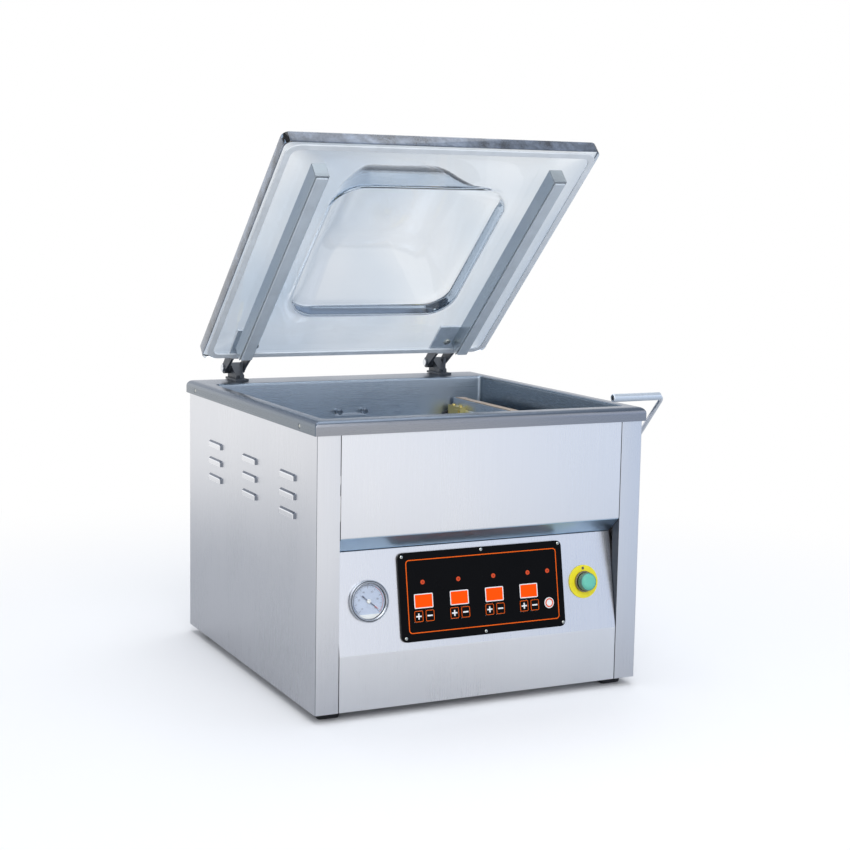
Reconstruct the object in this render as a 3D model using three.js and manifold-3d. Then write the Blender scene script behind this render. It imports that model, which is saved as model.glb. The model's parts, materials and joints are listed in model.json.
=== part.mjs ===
// Tabletop vacuum packing machine with a hinged clear lid, in millimetres, +Z up.
// The machine is drawn with x = 0 on its centre plane, y = 0 on the cabinet's front face and
// z = 0 on the surface that the feet stand on. The last lines move the origin to the middle
// of the footprint's bounding box.
import * as THREE from 'three';
import { mergeVertices } from 'three/addons/utils/BufferGeometryUtils.js';
import Module from 'manifold-3d';

// ---------- driving dimensions ----------
const CABINET_WIDTH = 520;
const CABINET_DEPTH = 555;
const CABINET_HEIGHT = 390;
const FOOT_HEIGHT = 12;
const FOOT_SIZE = 35;
const FOOT_X = 231;
const FOOT_FRONT_Y = 34;
const FOOT_REAR_Y = 495;
const SHEET = 2;
const GAP = 0.3;
const SEAM = 1.1;

const RIM_HEIGHT = 20;
const RIM_OVERHANG = 4.6;
const RIM_CORNER = 3;
const RIM_BEND = 9;
const CHAMBER_WIDTH = 480;
const CHAMBER_FRONT = 26;
const CHAMBER_BACK = 478;
const CHAMBER_DEPTH = 80;
const CHAMBER_CORNER = 6;
const SUCTION_X = -45;
const SUCTION_Y = 440;

const COLUMN_WIDTH = 35;
const COLUMN_RETURN = 18;
const BACK_FLANGE = 20;
const UPPER_PANEL_BOTTOM = 245;
const FASCIA_SETBACK = 25.5;
const FASCIA_TOP = 222.2;
const FASCIA_BOTTOM = 79.7;

const LID_WIDTH = 515;
const LID_LENGTH = 501;
const LID_THICKNESS = 20;
const LID_CORNER = 12;
const LID_SEAT = 3.3;
const LID_OPEN_ANGLE = 42.25;
const PIVOT_Y = 548.6;
const PIVOT_ABOVE_RIM = 18.9;
const HINGE_X = 186;
const HUB_WIDTH = 26;
const POST_FRONT = 505;
const PIN_RADIUS = 4;
const PIN_HOLE_RADIUS = 4.4;

const BAR_X = 195;
const BAR_WIDTH = 22;
const BAR_HEIGHT = 25;
const BAR_FRONT = 42;
const BAR_BACK = 474;
const STRIP_WIDTH = 18;
const SEAL_BAR_TOP_BELOW_RIM = 34;
const PIN_FROM_BAR_END = 90;

const LEVER_PIVOT_Y = 57;
const LEVER_PIVOT_BELOW_RIM = 60;
const LEVER_X = 284.5;
const GRIP_Y = -15;
const GRIP_ABOVE_RIM = 17.5;
const GRIP_LENGTH = 82;
const GRIP_RADIUS = 5.9;
const ROD_RADIUS = 3.5;
const ELBOW_REACH = 6;
const EYE_SIZE = 11;

// ---------- levels that follow from them ----------
const HALF_WIDTH = CABINET_WIDTH / 2;
const BASE = FOOT_HEIGHT;
const RIM_BOTTOM = BASE + CABINET_HEIGHT;
const RIM_TOP = RIM_BOTTOM + RIM_HEIGHT;
const CHAMBER_FLOOR = RIM_TOP - CHAMBER_DEPTH;
const PIVOT_Z = RIM_TOP + PIVOT_ABOVE_RIM;
const INNER_X = HALF_WIDTH - COLUMN_WIDTH;

const wasm = await Module();
wasm.setup();

// ---------- materials ----------
const finish = (color, roughness, metalness) => () =>
  new THREE.MeshStandardMaterial({ color, roughness, metalness });
const brushedSteel = finish(0xc9ccd0, 0.35, 0.9);
const chamberSteel = finish(0x8f9aa8, 0.35, 0.9);
const aluminium = finish(0xc4c7ca, 0.4, 0.85);
const chrome = finish(0xe2e4e6, 0.15, 1.0);
const castIron = finish(0x4b5157, 0.6, 0.6);
const brass = finish(0xc9a548, 0.35, 0.9);
const blackRubber = finish(0x1d1d1f, 0.9, 0.0);
const whiteRubber = finish(0xe9e9e4, 0.7, 0.0);
const greyRubber = finish(0x9aa1a8, 0.6, 0.0);
const blackPlastic = finish(0x17181b, 0.45, 0.0);
const whitePlastic = finish(0xf2f2ee, 0.5, 0.0);
const orangePlastic = finish(0xe0552a, 0.4, 0.0);
const yellowPlastic = finish(0xe2c93a, 0.5, 0.0);
const greenPlastic = finish(0x2d9a55, 0.35, 0.0);
const ptfeCloth = finish(0xb08a5c, 0.7, 0.0);
const boardGreen = finish(0x2b5c3c, 0.6, 0.0);
const clearAcrylic = () =>
  new THREE.MeshStandardMaterial({ color: 0xdfeaf0, roughness: 0.08, transparent: true, opacity: 0.35 });

// ---------- solids ----------
function toSolid(geometry) {
  const bare = geometry.index ? geometry.toNonIndexed() : geometry.clone();
  bare.deleteAttribute('normal');
  bare.deleteAttribute('uv');
  const merged = mergeVertices(bare, 1e-3);
  const index = merged.index.array;
  const kept = [];
  for (let i = 0; i < index.length; i += 3) {
    const [a, b, c] = [index[i], index[i + 1], index[i + 2]];
    if (a !== b && b !== c && c !== a) kept.push(a, b, c);
  }
  const build = (corners) =>
    new wasm.Manifold(
      new wasm.Mesh({
        numProp: 3,
        vertProperties: merged.getAttribute('position').array,
        triVerts: new Uint32Array(corners),
      }),
    );
  const solid = build(kept);
  return solid.volume() >= 0 ? solid : build(kept.reverse());
}

function toGeometry(solid) {
  const mesh = solid.getMesh();
  const stride = mesh.numProp;
  const points = new Float32Array(mesh.numVert * 3);
  for (let i = 0; i < mesh.numVert; i += 1) {
    points.set(mesh.vertProperties.subarray(i * stride, i * stride + 3), i * 3);
  }
  const geometry = new THREE.BufferGeometry();
  geometry.setAttribute('position', new THREE.BufferAttribute(points, 3));
  geometry.setIndex(new THREE.BufferAttribute(mesh.triVerts, 1));
  geometry.computeVertexNormals();
  return geometry;
}

const join = (first, ...rest) => rest.reduce((whole, piece) => whole.add(piece), first);
const cut = (first, ...rest) => rest.reduce((whole, piece) => whole.subtract(piece), first);

// A box between two corners.
function block([x0, x1], [y0, y1], [z0, z1]) {
  const box = new THREE.BoxGeometry(x1 - x0, y1 - y0, z1 - z0);
  return toSolid(box.translate((x0 + x1) / 2, (y0 + y1) / 2, (z0 + z1) / 2));
}

// Turns a shape that was made around the Y axis, standing on y = 0, to run along x, y or z.
function along(axis, geometry) {
  if (axis === 'x') return geometry.rotateZ(-Math.PI / 2);
  if (axis === 'z') return geometry.rotateX(Math.PI / 2);
  return geometry;
}

// A round bar from "from" to "to" along the axis, centred on the two other coordinates.
function rod(axis, radius, [from, to], [u, v], sides = 24) {
  const bar = new THREE.CylinderGeometry(radius, radius, to - from, sides);
  const middle = (from + to) / 2;
  along(axis, bar);
  if (axis === 'x') bar.translate(middle, u, v);
  if (axis === 'y') bar.translate(u, middle, v);
  if (axis === 'z') bar.translate(u, v, middle);
  return toSolid(bar);
}

// A turned piece about the axis through "place"; the profile is a list of [radius, height].
function turned(axis, profile, [x, y, z], sides = 32) {
  const points = profile.map(([radius, height]) => new THREE.Vector2(radius, height));
  const lathe = new THREE.LatheGeometry(points, sides);
  return toSolid(along(axis, lathe).translate(x, y, z));
}

// A turned ring or tube with a rectangular wall.
const sleeve = (axis, inner, outer, [from, to], place, sides = 32) =>
  turned(axis, [[inner, from], [outer, from], [outer, to], [inner, to], [inner, from]], place, sides);

// An outline in the YZ plane, run along X from x0 to x1.
function profileX(outline, [x0, x1]) {
  const shape = new THREE.Shape(outline.map(([y, z]) => new THREE.Vector2(y, z)));
  const body = new THREE.ExtrudeGeometry(shape, { depth: x1 - x0, bevelEnabled: false, steps: 1 });
  body.applyMatrix4(new THREE.Matrix4().set(0, 0, 1, x0, 1, 0, 0, 0, 0, 1, 0, 0, 0, 0, 0, 1));
  return toSolid(body);
}

// A rectangle with round corners, as a list of points.
function roundRectPoints(width, height, radius, perCorner = 5) {
  const points = [];
  const corners = [[1, 1, 0], [-1, 1, 1], [-1, -1, 2], [1, -1, 3]];
  for (const [sx, sy, quarter] of corners) {
    for (let i = 0; i <= perCorner; i += 1) {
      const angle = (quarter + i / perCorner) * (Math.PI / 2);
      const x = sx * (width / 2 - radius) + radius * Math.cos(angle);
      const y = sy * (height / 2 - radius) + radius * Math.sin(angle);
      points.push(new THREE.Vector2(x, y));
    }
  }
  return points;
}

// A plate in the XY plane with round corners, between two heights.
function roundPlate(width, height, radius, [z0, z1], [x, y], perCorner = 5) {
  const shape = new THREE.Shape(roundRectPoints(width, height, radius, perCorner));
  const plate = new THREE.ExtrudeGeometry(shape, { depth: z1 - z0, bevelEnabled: false, steps: 1 });
  return toSolid(plate.translate(x, y, z0));
}

// A solid through a stack of round-cornered rectangles: each ring is { width, height, radius, z }.
function loft(rings, [x, y], perCorner = 5) {
  const outlines = rings.map((ring) => roundRectPoints(ring.width, ring.height, ring.radius, perCorner));
  const count = outlines[0].length;
  const positions = [];
  outlines.forEach((outline, level) => {
    outline.forEach((point) => positions.push(point.x + x, point.y + y, rings[level].z));
  });
  const index = [];
  for (let level = 0; level + 1 < outlines.length; level += 1) {
    for (let i = 0; i < count; i += 1) {
      const a = level * count + i;
      const b = level * count + ((i + 1) % count);
      index.push(a, b, b + count, a, b + count, a + count);
    }
  }
  const top = (outlines.length - 1) * count;
  for (let i = 1; i + 1 < count; i += 1) {
    index.push(0, i + 1, i);
    index.push(top, top + i, top + i + 1);
  }
  const geometry = new THREE.BufferGeometry();
  geometry.setAttribute('position', new THREE.Float32BufferAttribute(positions, 3));
  geometry.setIndex(index);
  return toSolid(geometry);
}

function add(parent, name, solid, material) {
  const mesh = new THREE.Mesh(toGeometry(solid), material());
  mesh.name = name;
  parent.add(mesh);
}

const SIDES = [['left', -1], ['right', 1]];
const spanX = (side, near, far) => (side > 0 ? [near, far] : [-far, -near]);

// ---------- chamber tub and its rim ----------
function chamberTub() {
  const rimCentreY = CABINET_DEPTH / 2;
  const rimWidth = CABINET_WIDTH + 2 * RIM_OVERHANG;
  const rimLength = CABINET_DEPTH + 2 * RIM_OVERHANG;
  const bendSteps = 4;
  const rings = [{ width: rimWidth, height: rimLength, radius: RIM_CORNER, z: RIM_BOTTOM }];
  for (let i = 0; i <= bendSteps; i += 1) {
    const angle = (i / bendSteps) * (Math.PI / 2);
    const inset = RIM_BEND * (1 - Math.cos(angle));
    rings.push({
      width: rimWidth - 2 * inset,
      height: rimLength - 2 * inset,
      radius: RIM_CORNER + inset * 0.3,
      z: RIM_TOP - RIM_BEND * (1 - Math.sin(angle)),
    });
  }
  const rim = loft(rings, [0, rimCentreY], 3);
  const under = loft(
    [
      { width: rimWidth - 2 * SHEET, height: rimLength - 2 * SHEET, radius: 2, z: RIM_BOTTOM - 1 },
      { width: rimWidth - 2 * SHEET, height: rimLength - 2 * SHEET, radius: 2, z: RIM_TOP - RIM_BEND },
      {
        width: rimWidth - 2 * RIM_BEND, height: rimLength - 2 * RIM_BEND, radius: 2, z: RIM_TOP - SHEET,
      },
    ],
    [0, rimCentreY],
    2,
  );
  const chamberLength = CHAMBER_BACK - CHAMBER_FRONT;
  const chamberY = (CHAMBER_FRONT + CHAMBER_BACK) / 2;
  const tub = roundPlate(
    CHAMBER_WIDTH + 2 * SHEET, chamberLength + 2 * SHEET, CHAMBER_CORNER + SHEET,
    [CHAMBER_FLOOR - SHEET, RIM_TOP - 1], [0, chamberY],
  );
  const bend = 5;
  const floorFillet = 6;
  const opening = (grow, z) => ({
    width: CHAMBER_WIDTH + 2 * grow,
    height: chamberLength + 2 * grow,
    radius: CHAMBER_CORNER + grow * 0.6,
    z,
  });
  const hollow = loft(
    [
      opening(-floorFillet, CHAMBER_FLOOR),
      opening(0, CHAMBER_FLOOR + floorFillet),
      opening(0, RIM_TOP - bend),
      opening(bend * 0.3, RIM_TOP - bend * 0.3),
      opening(bend, RIM_TOP + 1),
    ],
    [0, chamberY],
  );
  const portHole = rod('z', 15.4, [CHAMBER_FLOOR - 5, CHAMBER_FLOOR + 5], [SUCTION_X, SUCTION_Y]);
  return cut(join(cut(rim, under), tub), hollow, portHole);
}

// ---------- cabinet panels ----------
const LOUVRE_ROWS = 3;
const LOUVRE_COLUMNS = 3;
const LOUVRE_LENGTH = 58;
const LOUVRE_FIRST_Y = 77.5;
const LOUVRE_PITCH_Y = 156.7;
const LOUVRE_TOP_Z = BASE + 321;
const LOUVRE_PITCH_Z = 26.7;
const LOUVRE_DEPTH = 3.8;

// One pressed louvre: the hood stands out of the sheet, and the slot leaves its underside open.
function louvre(side, y, z) {
  const wedge = (outline, inset) => {
    const corners = outline.map(([out, up]) => new THREE.Vector2(side * (HALF_WIDTH + out), z + up));
    const shape = new THREE.Shape(corners);
    const length = LOUVRE_LENGTH - 2 * inset;
    const body = new THREE.ExtrudeGeometry(shape, { depth: length, bevelEnabled: false, steps: 1 });
    return toSolid(body.rotateX(Math.PI / 2).translate(0, y + LOUVRE_LENGTH - inset, 0));
  };
  const out = LOUVRE_DEPTH;
  const skin = 1;
  const hood = [[-1, 4.6], [0.4, 4.6], [out, -1.5], [out, -5], [-1, -5]];
  const slot = [[-SHEET - 1, 2.6], [-0.6, 2.6], [out - skin, -2], [out - skin, -6.5], [-SHEET - 1, -6.5]];
  return { hood: wedge(hood, 0), slot: wedge(slot, skin) };
}

// A folded side sheet: front column with its return at one end, a short flange at the back.
function sidePanel(side) {
  const inside = HALF_WIDTH - SHEET;
  const back = CABINET_DEPTH - SHEET;
  const flange = HALF_WIDTH - BACK_FLANGE;
  const section = [
    [HALF_WIDTH, 0], [HALF_WIDTH, CABINET_DEPTH],
    [flange, CABINET_DEPTH], [flange, back],
    [inside, back], [inside, SHEET],
    [INNER_X + SHEET, SHEET], [INNER_X + SHEET, COLUMN_RETURN],
    [INNER_X, COLUMN_RETURN], [INNER_X, 0],
  ];
  const shape = new THREE.Shape(section.map(([x, y]) => new THREE.Vector2(side * x, y)));
  const height = CABINET_HEIGHT - GAP;
  const folded = new THREE.ExtrudeGeometry(shape, { depth: height, bevelEnabled: false, steps: 1 });
  let panel = toSolid(folded.translate(0, 0, BASE));
  for (let row = 0; row < LOUVRE_ROWS; row += 1) {
    for (let place = 0; place < LOUVRE_COLUMNS; place += 1) {
      const y = LOUVRE_FIRST_Y + place * LOUVRE_PITCH_Y;
      const { hood, slot } = louvre(side, y, LOUVRE_TOP_Z - row * LOUVRE_PITCH_Z);
      panel = cut(join(panel, hood), slot);
    }
  }
  return panel;
}

// The flat front above the controls, with the flange that returns under its lower edge.
function upperFrontPanel() {
  const bottom = BASE + UPPER_PANEL_BOTTOM;
  const flangeEnd = BASE + FASCIA_TOP;
  const outline = [
    [0, bottom],
    [0, RIM_BOTTOM - GAP],
    [SHEET, RIM_BOTTOM - GAP],
    [SHEET, bottom + 1],
    [FASCIA_SETBACK + 1, flangeEnd + SHEET + 0.4],
    [FASCIA_SETBACK + 1, flangeEnd + 0.4],
  ];
  return profileX(outline, [-INNER_X + SEAM, INNER_X - SEAM]);
}

const FASCIA_RISE = FASCIA_TOP - FASCIA_BOTTOM;
const FASCIA_TILT = Math.atan2(FASCIA_RISE, FASCIA_SETBACK);
const FASCIA_LENGTH = Math.hypot(FASCIA_RISE, FASCIA_SETBACK);

// Places on the sloping fascia: x across, t up the slope from its lower edge, s out of it.
const OVERLAY = { x: 4, t: 73.5, width: 266, height: 126, corner: 8, from: 0.3, to: 3.3 };
const DISPLAY = { firstX: -91.9, pitch: 56.7, t: 67, width: 28.2, height: 19.3 };
const KEY = { width: 14.2, height: 16.4, t: 45.6, step: 17.7, from: 1.2, to: 3.5, clearance: 0.35 };
const STOP = { x: 111.5, t: 46.5, radius: 8 };
const GAUGE = { x: -175.6, t: 73.5 };
const BUTTON = { x: 173, t: 72.5 };
const FUNCTIONS = ['vacuum', 'gas', 'seal', 'cool'];
const keyX = (group, sign) => DISPLAY.firstX + group * DISPLAY.pitch + (sign * KEY.step) / 2;

function fasciaPanel() {
  const across = [-INNER_X + SEAM, INNER_X - SEAM];
  let panel = block(across, [0, FASCIA_LENGTH - 0.2], [-SHEET, 0]);
  FUNCTIONS.forEach((name, group) => {
    const x = DISPLAY.firstX + group * DISPLAY.pitch;
    const halfW = DISPLAY.width / 2 + 0.6;
    const halfH = DISPLAY.height / 2 + 0.6;
    panel = cut(panel, block([x - halfW, x + halfW], [DISPLAY.t - halfH, DISPLAY.t + halfH], [-9, 9]));
  });
  const gaugeHole = rod('z', 27.2, [-9, 9], [GAUGE.x, GAUGE.t], 32);
  const buttonHole = rod('z', 11.2, [-9, 9], [BUTTON.x, BUTTON.t]);
  panel = cut(panel, gaugeHole, buttonHole);
  // Back into the machine's own directions, to join the upright lower part.
  const turn = THREE.MathUtils.radToDeg(FASCIA_TILT);
  const placed = panel.rotate([turn, 0, 0]).translate([0, 0, BASE + FASCIA_BOTTOM]);
  const apron = profileX(
    [
      [0, BASE],
      [0, BASE + FASCIA_BOTTOM],
      [SHEET, BASE + FASCIA_BOTTOM + 0.3],
      [SHEET, BASE + SHEET],
      [16, BASE + SHEET],
      [16, BASE],
    ],
    across,
  );
  return join(placed, apron);
}

const INLET_X = -180;
const INLET_Z = BASE + 45;

function rearPanel() {
  const halfWidth = HALF_WIDTH - BACK_FLANGE - GAP;
  const bottom = BASE + SHEET + GAP;
  const thickness = [CABINET_DEPTH - SHEET, CABINET_DEPTH];
  let panel = block([-halfWidth, halfWidth], thickness, [bottom, RIM_BOTTOM - GAP]);
  for (let column = 0; column < 12; column += 1) {
    for (let row = 0; row < 2; row += 1) {
      const x = -132 + column * 24;
      const z = BASE + 150 + row * 70;
      panel = cut(panel, block([x - 3, x + 3], [CABINET_DEPTH - 9, CABINET_DEPTH + 9], [z, z + 50]));
    }
  }
  const inletHole = block([INLET_X - 14, INLET_X + 14], [500, 600], [INLET_Z - 10.5, INLET_Z + 10.5]);
  return cut(panel, inletHole);
}

function powerInlet() {
  const y = CABINET_DEPTH;
  const flange = block([INLET_X - 24, INLET_X + 24], [y + GAP, y + 2.3], [INLET_Z - 14, INLET_Z + 14]);
  const body = block([INLET_X - 13.5, INLET_X + 13.5], [y - 22, y + 1], [INLET_Z - 10, INLET_Z + 10]);
  const socket = block([INLET_X - 11.5, INLET_X + 11.5], [y - 14, y + 9], [INLET_Z - 8, INLET_Z + 8]);
  const pins = [[-7, 0], [0, 2], [7, 0]].map(([dx, dz]) =>
    block([INLET_X + dx - 1, INLET_X + dx + 1], [y - 16, y - 2], [INLET_Z + dz - 2, INLET_Z + dz + 2]));
  return join(cut(join(flange, body), socket), ...pins);
}

function basePlate() {
  const halfWidth = HALF_WIDTH - SHEET - GAP;
  const front = COLUMN_RETURN + GAP;
  const back = CABINET_DEPTH - SHEET - GAP;
  const floor = block([-halfWidth, halfWidth], [front, back], [BASE, BASE + SHEET]);
  const lips = SIDES.map(([, side]) =>
    block(spanX(side, halfWidth - SHEET, halfWidth), [front, back], [BASE, BASE + 16]));
  let plate = join(floor, ...lips);
  for (let column = 0; column < 5; column += 1) {
    for (let row = 0; row < 2; row += 1) {
      const x = -120 + column * 60;
      const y = 160 + row * 180;
      plate = cut(plate, block([x - 20, x + 20], [y - 3, y + 3], [BASE - 5, BASE + 9]));
    }
  }
  return plate;
}

function foot(x, y) {
  const height = FOOT_HEIGHT - GAP;
  return loft(
    [
      { width: FOOT_SIZE - 3, height: FOOT_SIZE - 3, radius: 5, z: 0 },
      { width: FOOT_SIZE, height: FOOT_SIZE, radius: 6, z: height },
    ],
    [x, y],
    3,
  );
}

function buildCabinet(group) {
  add(group, 'chamber_tub', chamberTub(), chamberSteel);
  for (const [label, side] of SIDES) add(group, `side_panel_${label}`, sidePanel(side), brushedSteel);
  add(group, 'front_upper_panel', upperFrontPanel(), brushedSteel);
  add(group, 'front_fascia', fasciaPanel(), brushedSteel);
  add(group, 'rear_panel', rearPanel(), brushedSteel);
  add(group, 'base_plate', basePlate(), brushedSteel);
  add(group, 'power_inlet', powerInlet(), blackPlastic);
  for (const [label, side] of SIDES) {
    add(group, `foot_front_${label}`, foot(side * FOOT_X, FOOT_FRONT_Y), blackRubber);
    add(group, `foot_rear_${label}`, foot(side * FOOT_X, FOOT_REAR_Y), blackRubber);
  }
}

// ---------- controls on the sloping fascia ----------
function overlayPlate() {
  let plate = roundPlate(
    OVERLAY.width, OVERLAY.height, OVERLAY.corner, [OVERLAY.from, OVERLAY.to], [OVERLAY.x, OVERLAY.t], 4,
  );
  FUNCTIONS.forEach((name, group) => {
    const x = DISPLAY.firstX + group * DISPLAY.pitch;
    const w = DISPLAY.width / 2 + 0.4;
    const h = DISPLAY.height / 2 + 0.4;
    plate = cut(plate, block([x - w, x + w], [DISPLAY.t - h, DISPLAY.t + h], [-9, 9]));
    for (const sign of [-1, 1]) {
      const kx = keyX(group, sign);
      const kw = KEY.width / 2 + KEY.clearance;
      const kh = KEY.height / 2 + KEY.clearance;
      plate = cut(plate, block([kx - kw, kx + kw], [KEY.t - kh, KEY.t + kh], [-9, 9]));
    }
  });
  return cut(plate, rod('z', STOP.radius + KEY.clearance, [-9, 9], [STOP.x, STOP.t], 32));
}

// Circuit board behind the fascia with its four display blocks standing through the windows.
function displayModule() {
  const board = block([OVERLAY.x - 122, OVERLAY.x + 122], [24, 122], [-14, -12]);
  const pieces = FUNCTIONS.map((name, group) => {
    const x = DISPLAY.firstX + group * DISPLAY.pitch;
    const w = DISPLAY.width / 2;
    const h = DISPLAY.height / 2;
    return block([x - w, x + w], [DISPLAY.t - h, DISPLAY.t + h], [-12.5, 2.9]);
  });
  const header = block([OVERLAY.x - 20, OVERLAY.x + 20], [100, 112], [-22, -13]);
  const buzzer = rod('z', 8, [-24, -13], [OVERLAY.x + 90, 100], 20);
  return join(board, header, buzzer, ...pieces);
}

function buildGauge(group) {
  const { x, t } = GAUGE;
  const place = [x, t, 0];
  const cup = [[0, -28], [26.7, -28], [26.7, 2.2], [25.2, 2.2], [25.2, -26.5], [0, -26.5]];
  const inletStub = rod('z', 6, [-38, -27.5], [x, t], 6);
  add(group, 'gauge_case', join(turned('z', cup, place), inletStub), blackPlastic);
  add(group, 'gauge_dial', rod('z', 24.8, [-1.6, -0.6], [x, t], 32), whitePlastic);
  const glassEdge = [[0, 2.5], [26.3, 2.5], [26.3, 4.2], [22, 4.7], [0, 5.2]];
  add(group, 'gauge_glass', turned('z', glassEdge, place), clearAcrylic);
  const bezel = [
    [27.2, 0.3], [29, 0.3], [29.5, 2.5], [28.2, 5.4], [26.8, 6.4], [25.2, 6.4], [24.6, 5.6],
    [26.7, 4.7], [27.2, 4.4], [27.2, 0.3],
  ];
  add(group, 'gauge_bezel', turned('z', bezel, place), chrome);
}

const NEEDLE_LENGTH = 18;
const NEEDLE_TAIL = 12;
const NEEDLE_REST = THREE.MathUtils.degToRad(-40);

function buildNeedle(group) {
  const pointer = new THREE.Group();
  pointer.position.set(GAUGE.x, GAUGE.t, 0);
  pointer.rotation.z = NEEDLE_REST;
  const outline = [
    [-NEEDLE_TAIL, -1.3], [-NEEDLE_TAIL, 1.3], [NEEDLE_LENGTH, 0.35], [NEEDLE_LENGTH, -0.35],
  ];
  const shape = new THREE.Shape(outline.map(([u, v]) => new THREE.Vector2(u, v)));
  const blade = new THREE.ExtrudeGeometry(shape, { depth: 0.8, bevelEnabled: false, steps: 1 });
  const needle = join(toSolid(blade.translate(0, 0, 0.4)), rod('z', 3, [0.1, 1.8], [0, 0], 20));
  add(pointer, 'gauge_needle', needle, blackPlastic);
  group.add(pointer);
}

function buildPowerButton(group) {
  const { x, t } = BUTTON;
  const place = [x, t, 0];
  add(group, 'button_legend_ring', sleeve('z', 11.3, 24.5, [0.3, 1.8], place), yellowPlastic);
  // Collar in front, threaded barrel through the fascia, contact block behind.
  const collar = [
    [0, -24], [10.7, -24], [10.7, 2.1], [15.6, 2.1], [15.6, 5.6],
    [14.8, 6.6], [13.8, 6.6], [13.8, 3], [0, 3],
  ];
  const contacts = block([x - 14, x + 14], [t - 10, t + 10], [-52, -23]);
  add(group, 'button_bezel', join(turned('z', collar, place), contacts), aluminium);
  const cap = [[0, 7.6], [13.3, 7.6], [13.3, 16.4], [10.4, 19.3], [0, 19.8]];
  add(group, 'power_button', turned('z', cap, place), greenPlastic);
}

function buildKeys(group) {
  FUNCTIONS.forEach((name, index) => {
    for (const [label, sign] of [['plus', -1], ['minus', 1]]) {
      const x = keyX(index, sign);
      const key = roundPlate(KEY.width, KEY.height, 1.5, [KEY.from, KEY.to], [x, KEY.t], 2);
      add(group, `key_${name}_${label}`, key, blackPlastic);
    }
  });
  const button = [
    [0, KEY.from], [STOP.radius, KEY.from], [STOP.radius, KEY.to], [6.5, KEY.to + 0.2], [0, KEY.to + 0.2],
  ];
  add(group, 'key_stop', turned('z', button, [STOP.x, STOP.t, 0]), orangePlastic);
}

function buildControls(machine) {
  const fascia = new THREE.Group();
  fascia.position.set(0, 0, BASE + FASCIA_BOTTOM);
  fascia.rotation.x = FASCIA_TILT;
  add(fascia, 'control_overlay', overlayPlate(), blackPlastic);
  add(fascia, 'display_module', displayModule(), boardGreen);
  buildGauge(fascia);
  buildNeedle(fascia);
  buildPowerButton(fascia);
  buildKeys(fascia);
  machine.add(fascia);
}

// ---------- inside the chamber ----------
function buildSealBars(group) {
  const top = RIM_TOP - SEAL_BAR_TOP_BELOW_RIM;
  const span = [BAR_FRONT + 4, BAR_BACK - 4];
  const pinPlaces = [BAR_FRONT + PIN_FROM_BAR_END, BAR_BACK - PIN_FROM_BAR_END];
  for (const [label, side] of SIDES) {
    const x = side * (BAR_X - 2);
    const bar = block([x - 9, x + 9], span, [top - 17, top - 1.2]);
    const pins = pinPlaces.map((y) => rod('z', 4, [top - 34, top - 16.5], [x, y], 16));
    add(group, `seal_bar_${label}`, join(bar, ...pins), aluminium);
    const tape = block([x - 7, x + 7], [span[0] + 3, span[1] - 3], [top - 0.8, top]);
    add(group, `seal_tape_${label}`, tape, ptfeCloth);
    let lifter = block([x - 11, x + 11], span, [CHAMBER_FLOOR + GAP, top - 17.5]);
    for (const y of pinPlaces) lifter = cut(lifter, rod('z', 4.5, [top - 36, top], [x, y], 16));
    add(group, `bar_lifter_${label}`, lifter, aluminium);
  }
}

// Two round nozzle knobs joined by a narrow bar, on the chamber's rear wall.
function gasNozzleBar() {
  const z = RIM_TOP - 51;
  const wall = CHAMBER_BACK - GAP;
  const strip = block([-34, 22], [wall - 5, wall], [z - 8, z - 4]);
  const knob = [
    [0, wall - 15], [4, wall - 15], [5, wall - 13.8], [5, wall - 7], [3, wall - 7], [3, wall - 5.5],
    [5, wall - 5.5], [5, wall], [0, wall],
  ];
  return join(strip, ...[-29, 17].map((x) => turned('y', knob, [x, 0, z], 20)));
}

function suctionPort() {
  const outer = [
    [11, -32], [15, -32], [15, 0.3], [24, 0.3], [24, 2], [21, 4.5], [11, 4.5], [11, -32],
  ];
  return turned('z', outer, [SUCTION_X, SUCTION_Y, CHAMBER_FLOOR], 24);
}

function buildChamber(group) {
  buildSealBars(group);
  add(group, 'gas_nozzle_bar', gasNozzleBar(), chrome);
  add(group, 'suction_port', suctionPort(), chrome);
}

// ---------- machinery inside the cabinet ----------
const FLOOR_TOP = BASE + SHEET + GAP;

function vacuumPump() {
  const casing = roundPlate(130, 190, 14, [FLOOR_TOP + 18, FLOOR_TOP + 190], [-130, 370], 3);
  const rails = [-175, -85].map((x) => block([x - 8, x + 8], [270, 470], [FLOOR_TOP, FLOOR_TOP + 20]));
  const fins = [-3, -2, -1, 0, 1, 2, 3].map((i) =>
    block([-203, -57], [370 + i * 24 - 2.5, 370 + i * 24 + 2.5], [FLOOR_TOP + 60, FLOOR_TOP + 170]));
  const inlet = rod('z', 14, [FLOOR_TOP + 185, FLOOR_TOP + 222], [-130, 420]);
  const exhaust = rod('z', 26, [FLOOR_TOP + 180, FLOOR_TOP + 235], [-130, 325]);
  return join(casing, ...rails, ...fins, inlet, exhaust);
}

function pumpMotor() {
  const [x, z] = [-130, FLOOR_TOP + 105];
  const outline = [[0, 95], [48, 95], [62, 108], [62, 240], [54, 250], [24, 250], [24, 272], [0, 272]];
  const body = turned('y', outline, [x, 0, z], 28);
  const box = block([x - 30, x + 30], [130, 210], [z + 50, z + 84]);
  const legs = block([x - 50, x + 50], [125, 225], [FLOOR_TOP, z - 40]);
  return join(body, box, legs);
}

function sealTransformer() {
  const core = block([60, 160], [330, 410], [FLOOR_TOP + 6, FLOOR_TOP + 90]);
  const coil = roundPlate(74, 120, 14, [FLOOR_TOP + 22, FLOOR_TOP + 74], [110, 370], 4);
  const frame = block([48, 172], [345, 395], [FLOOR_TOP, FLOOR_TOP + 8]);
  return join(core, coil, frame);
}

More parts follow.
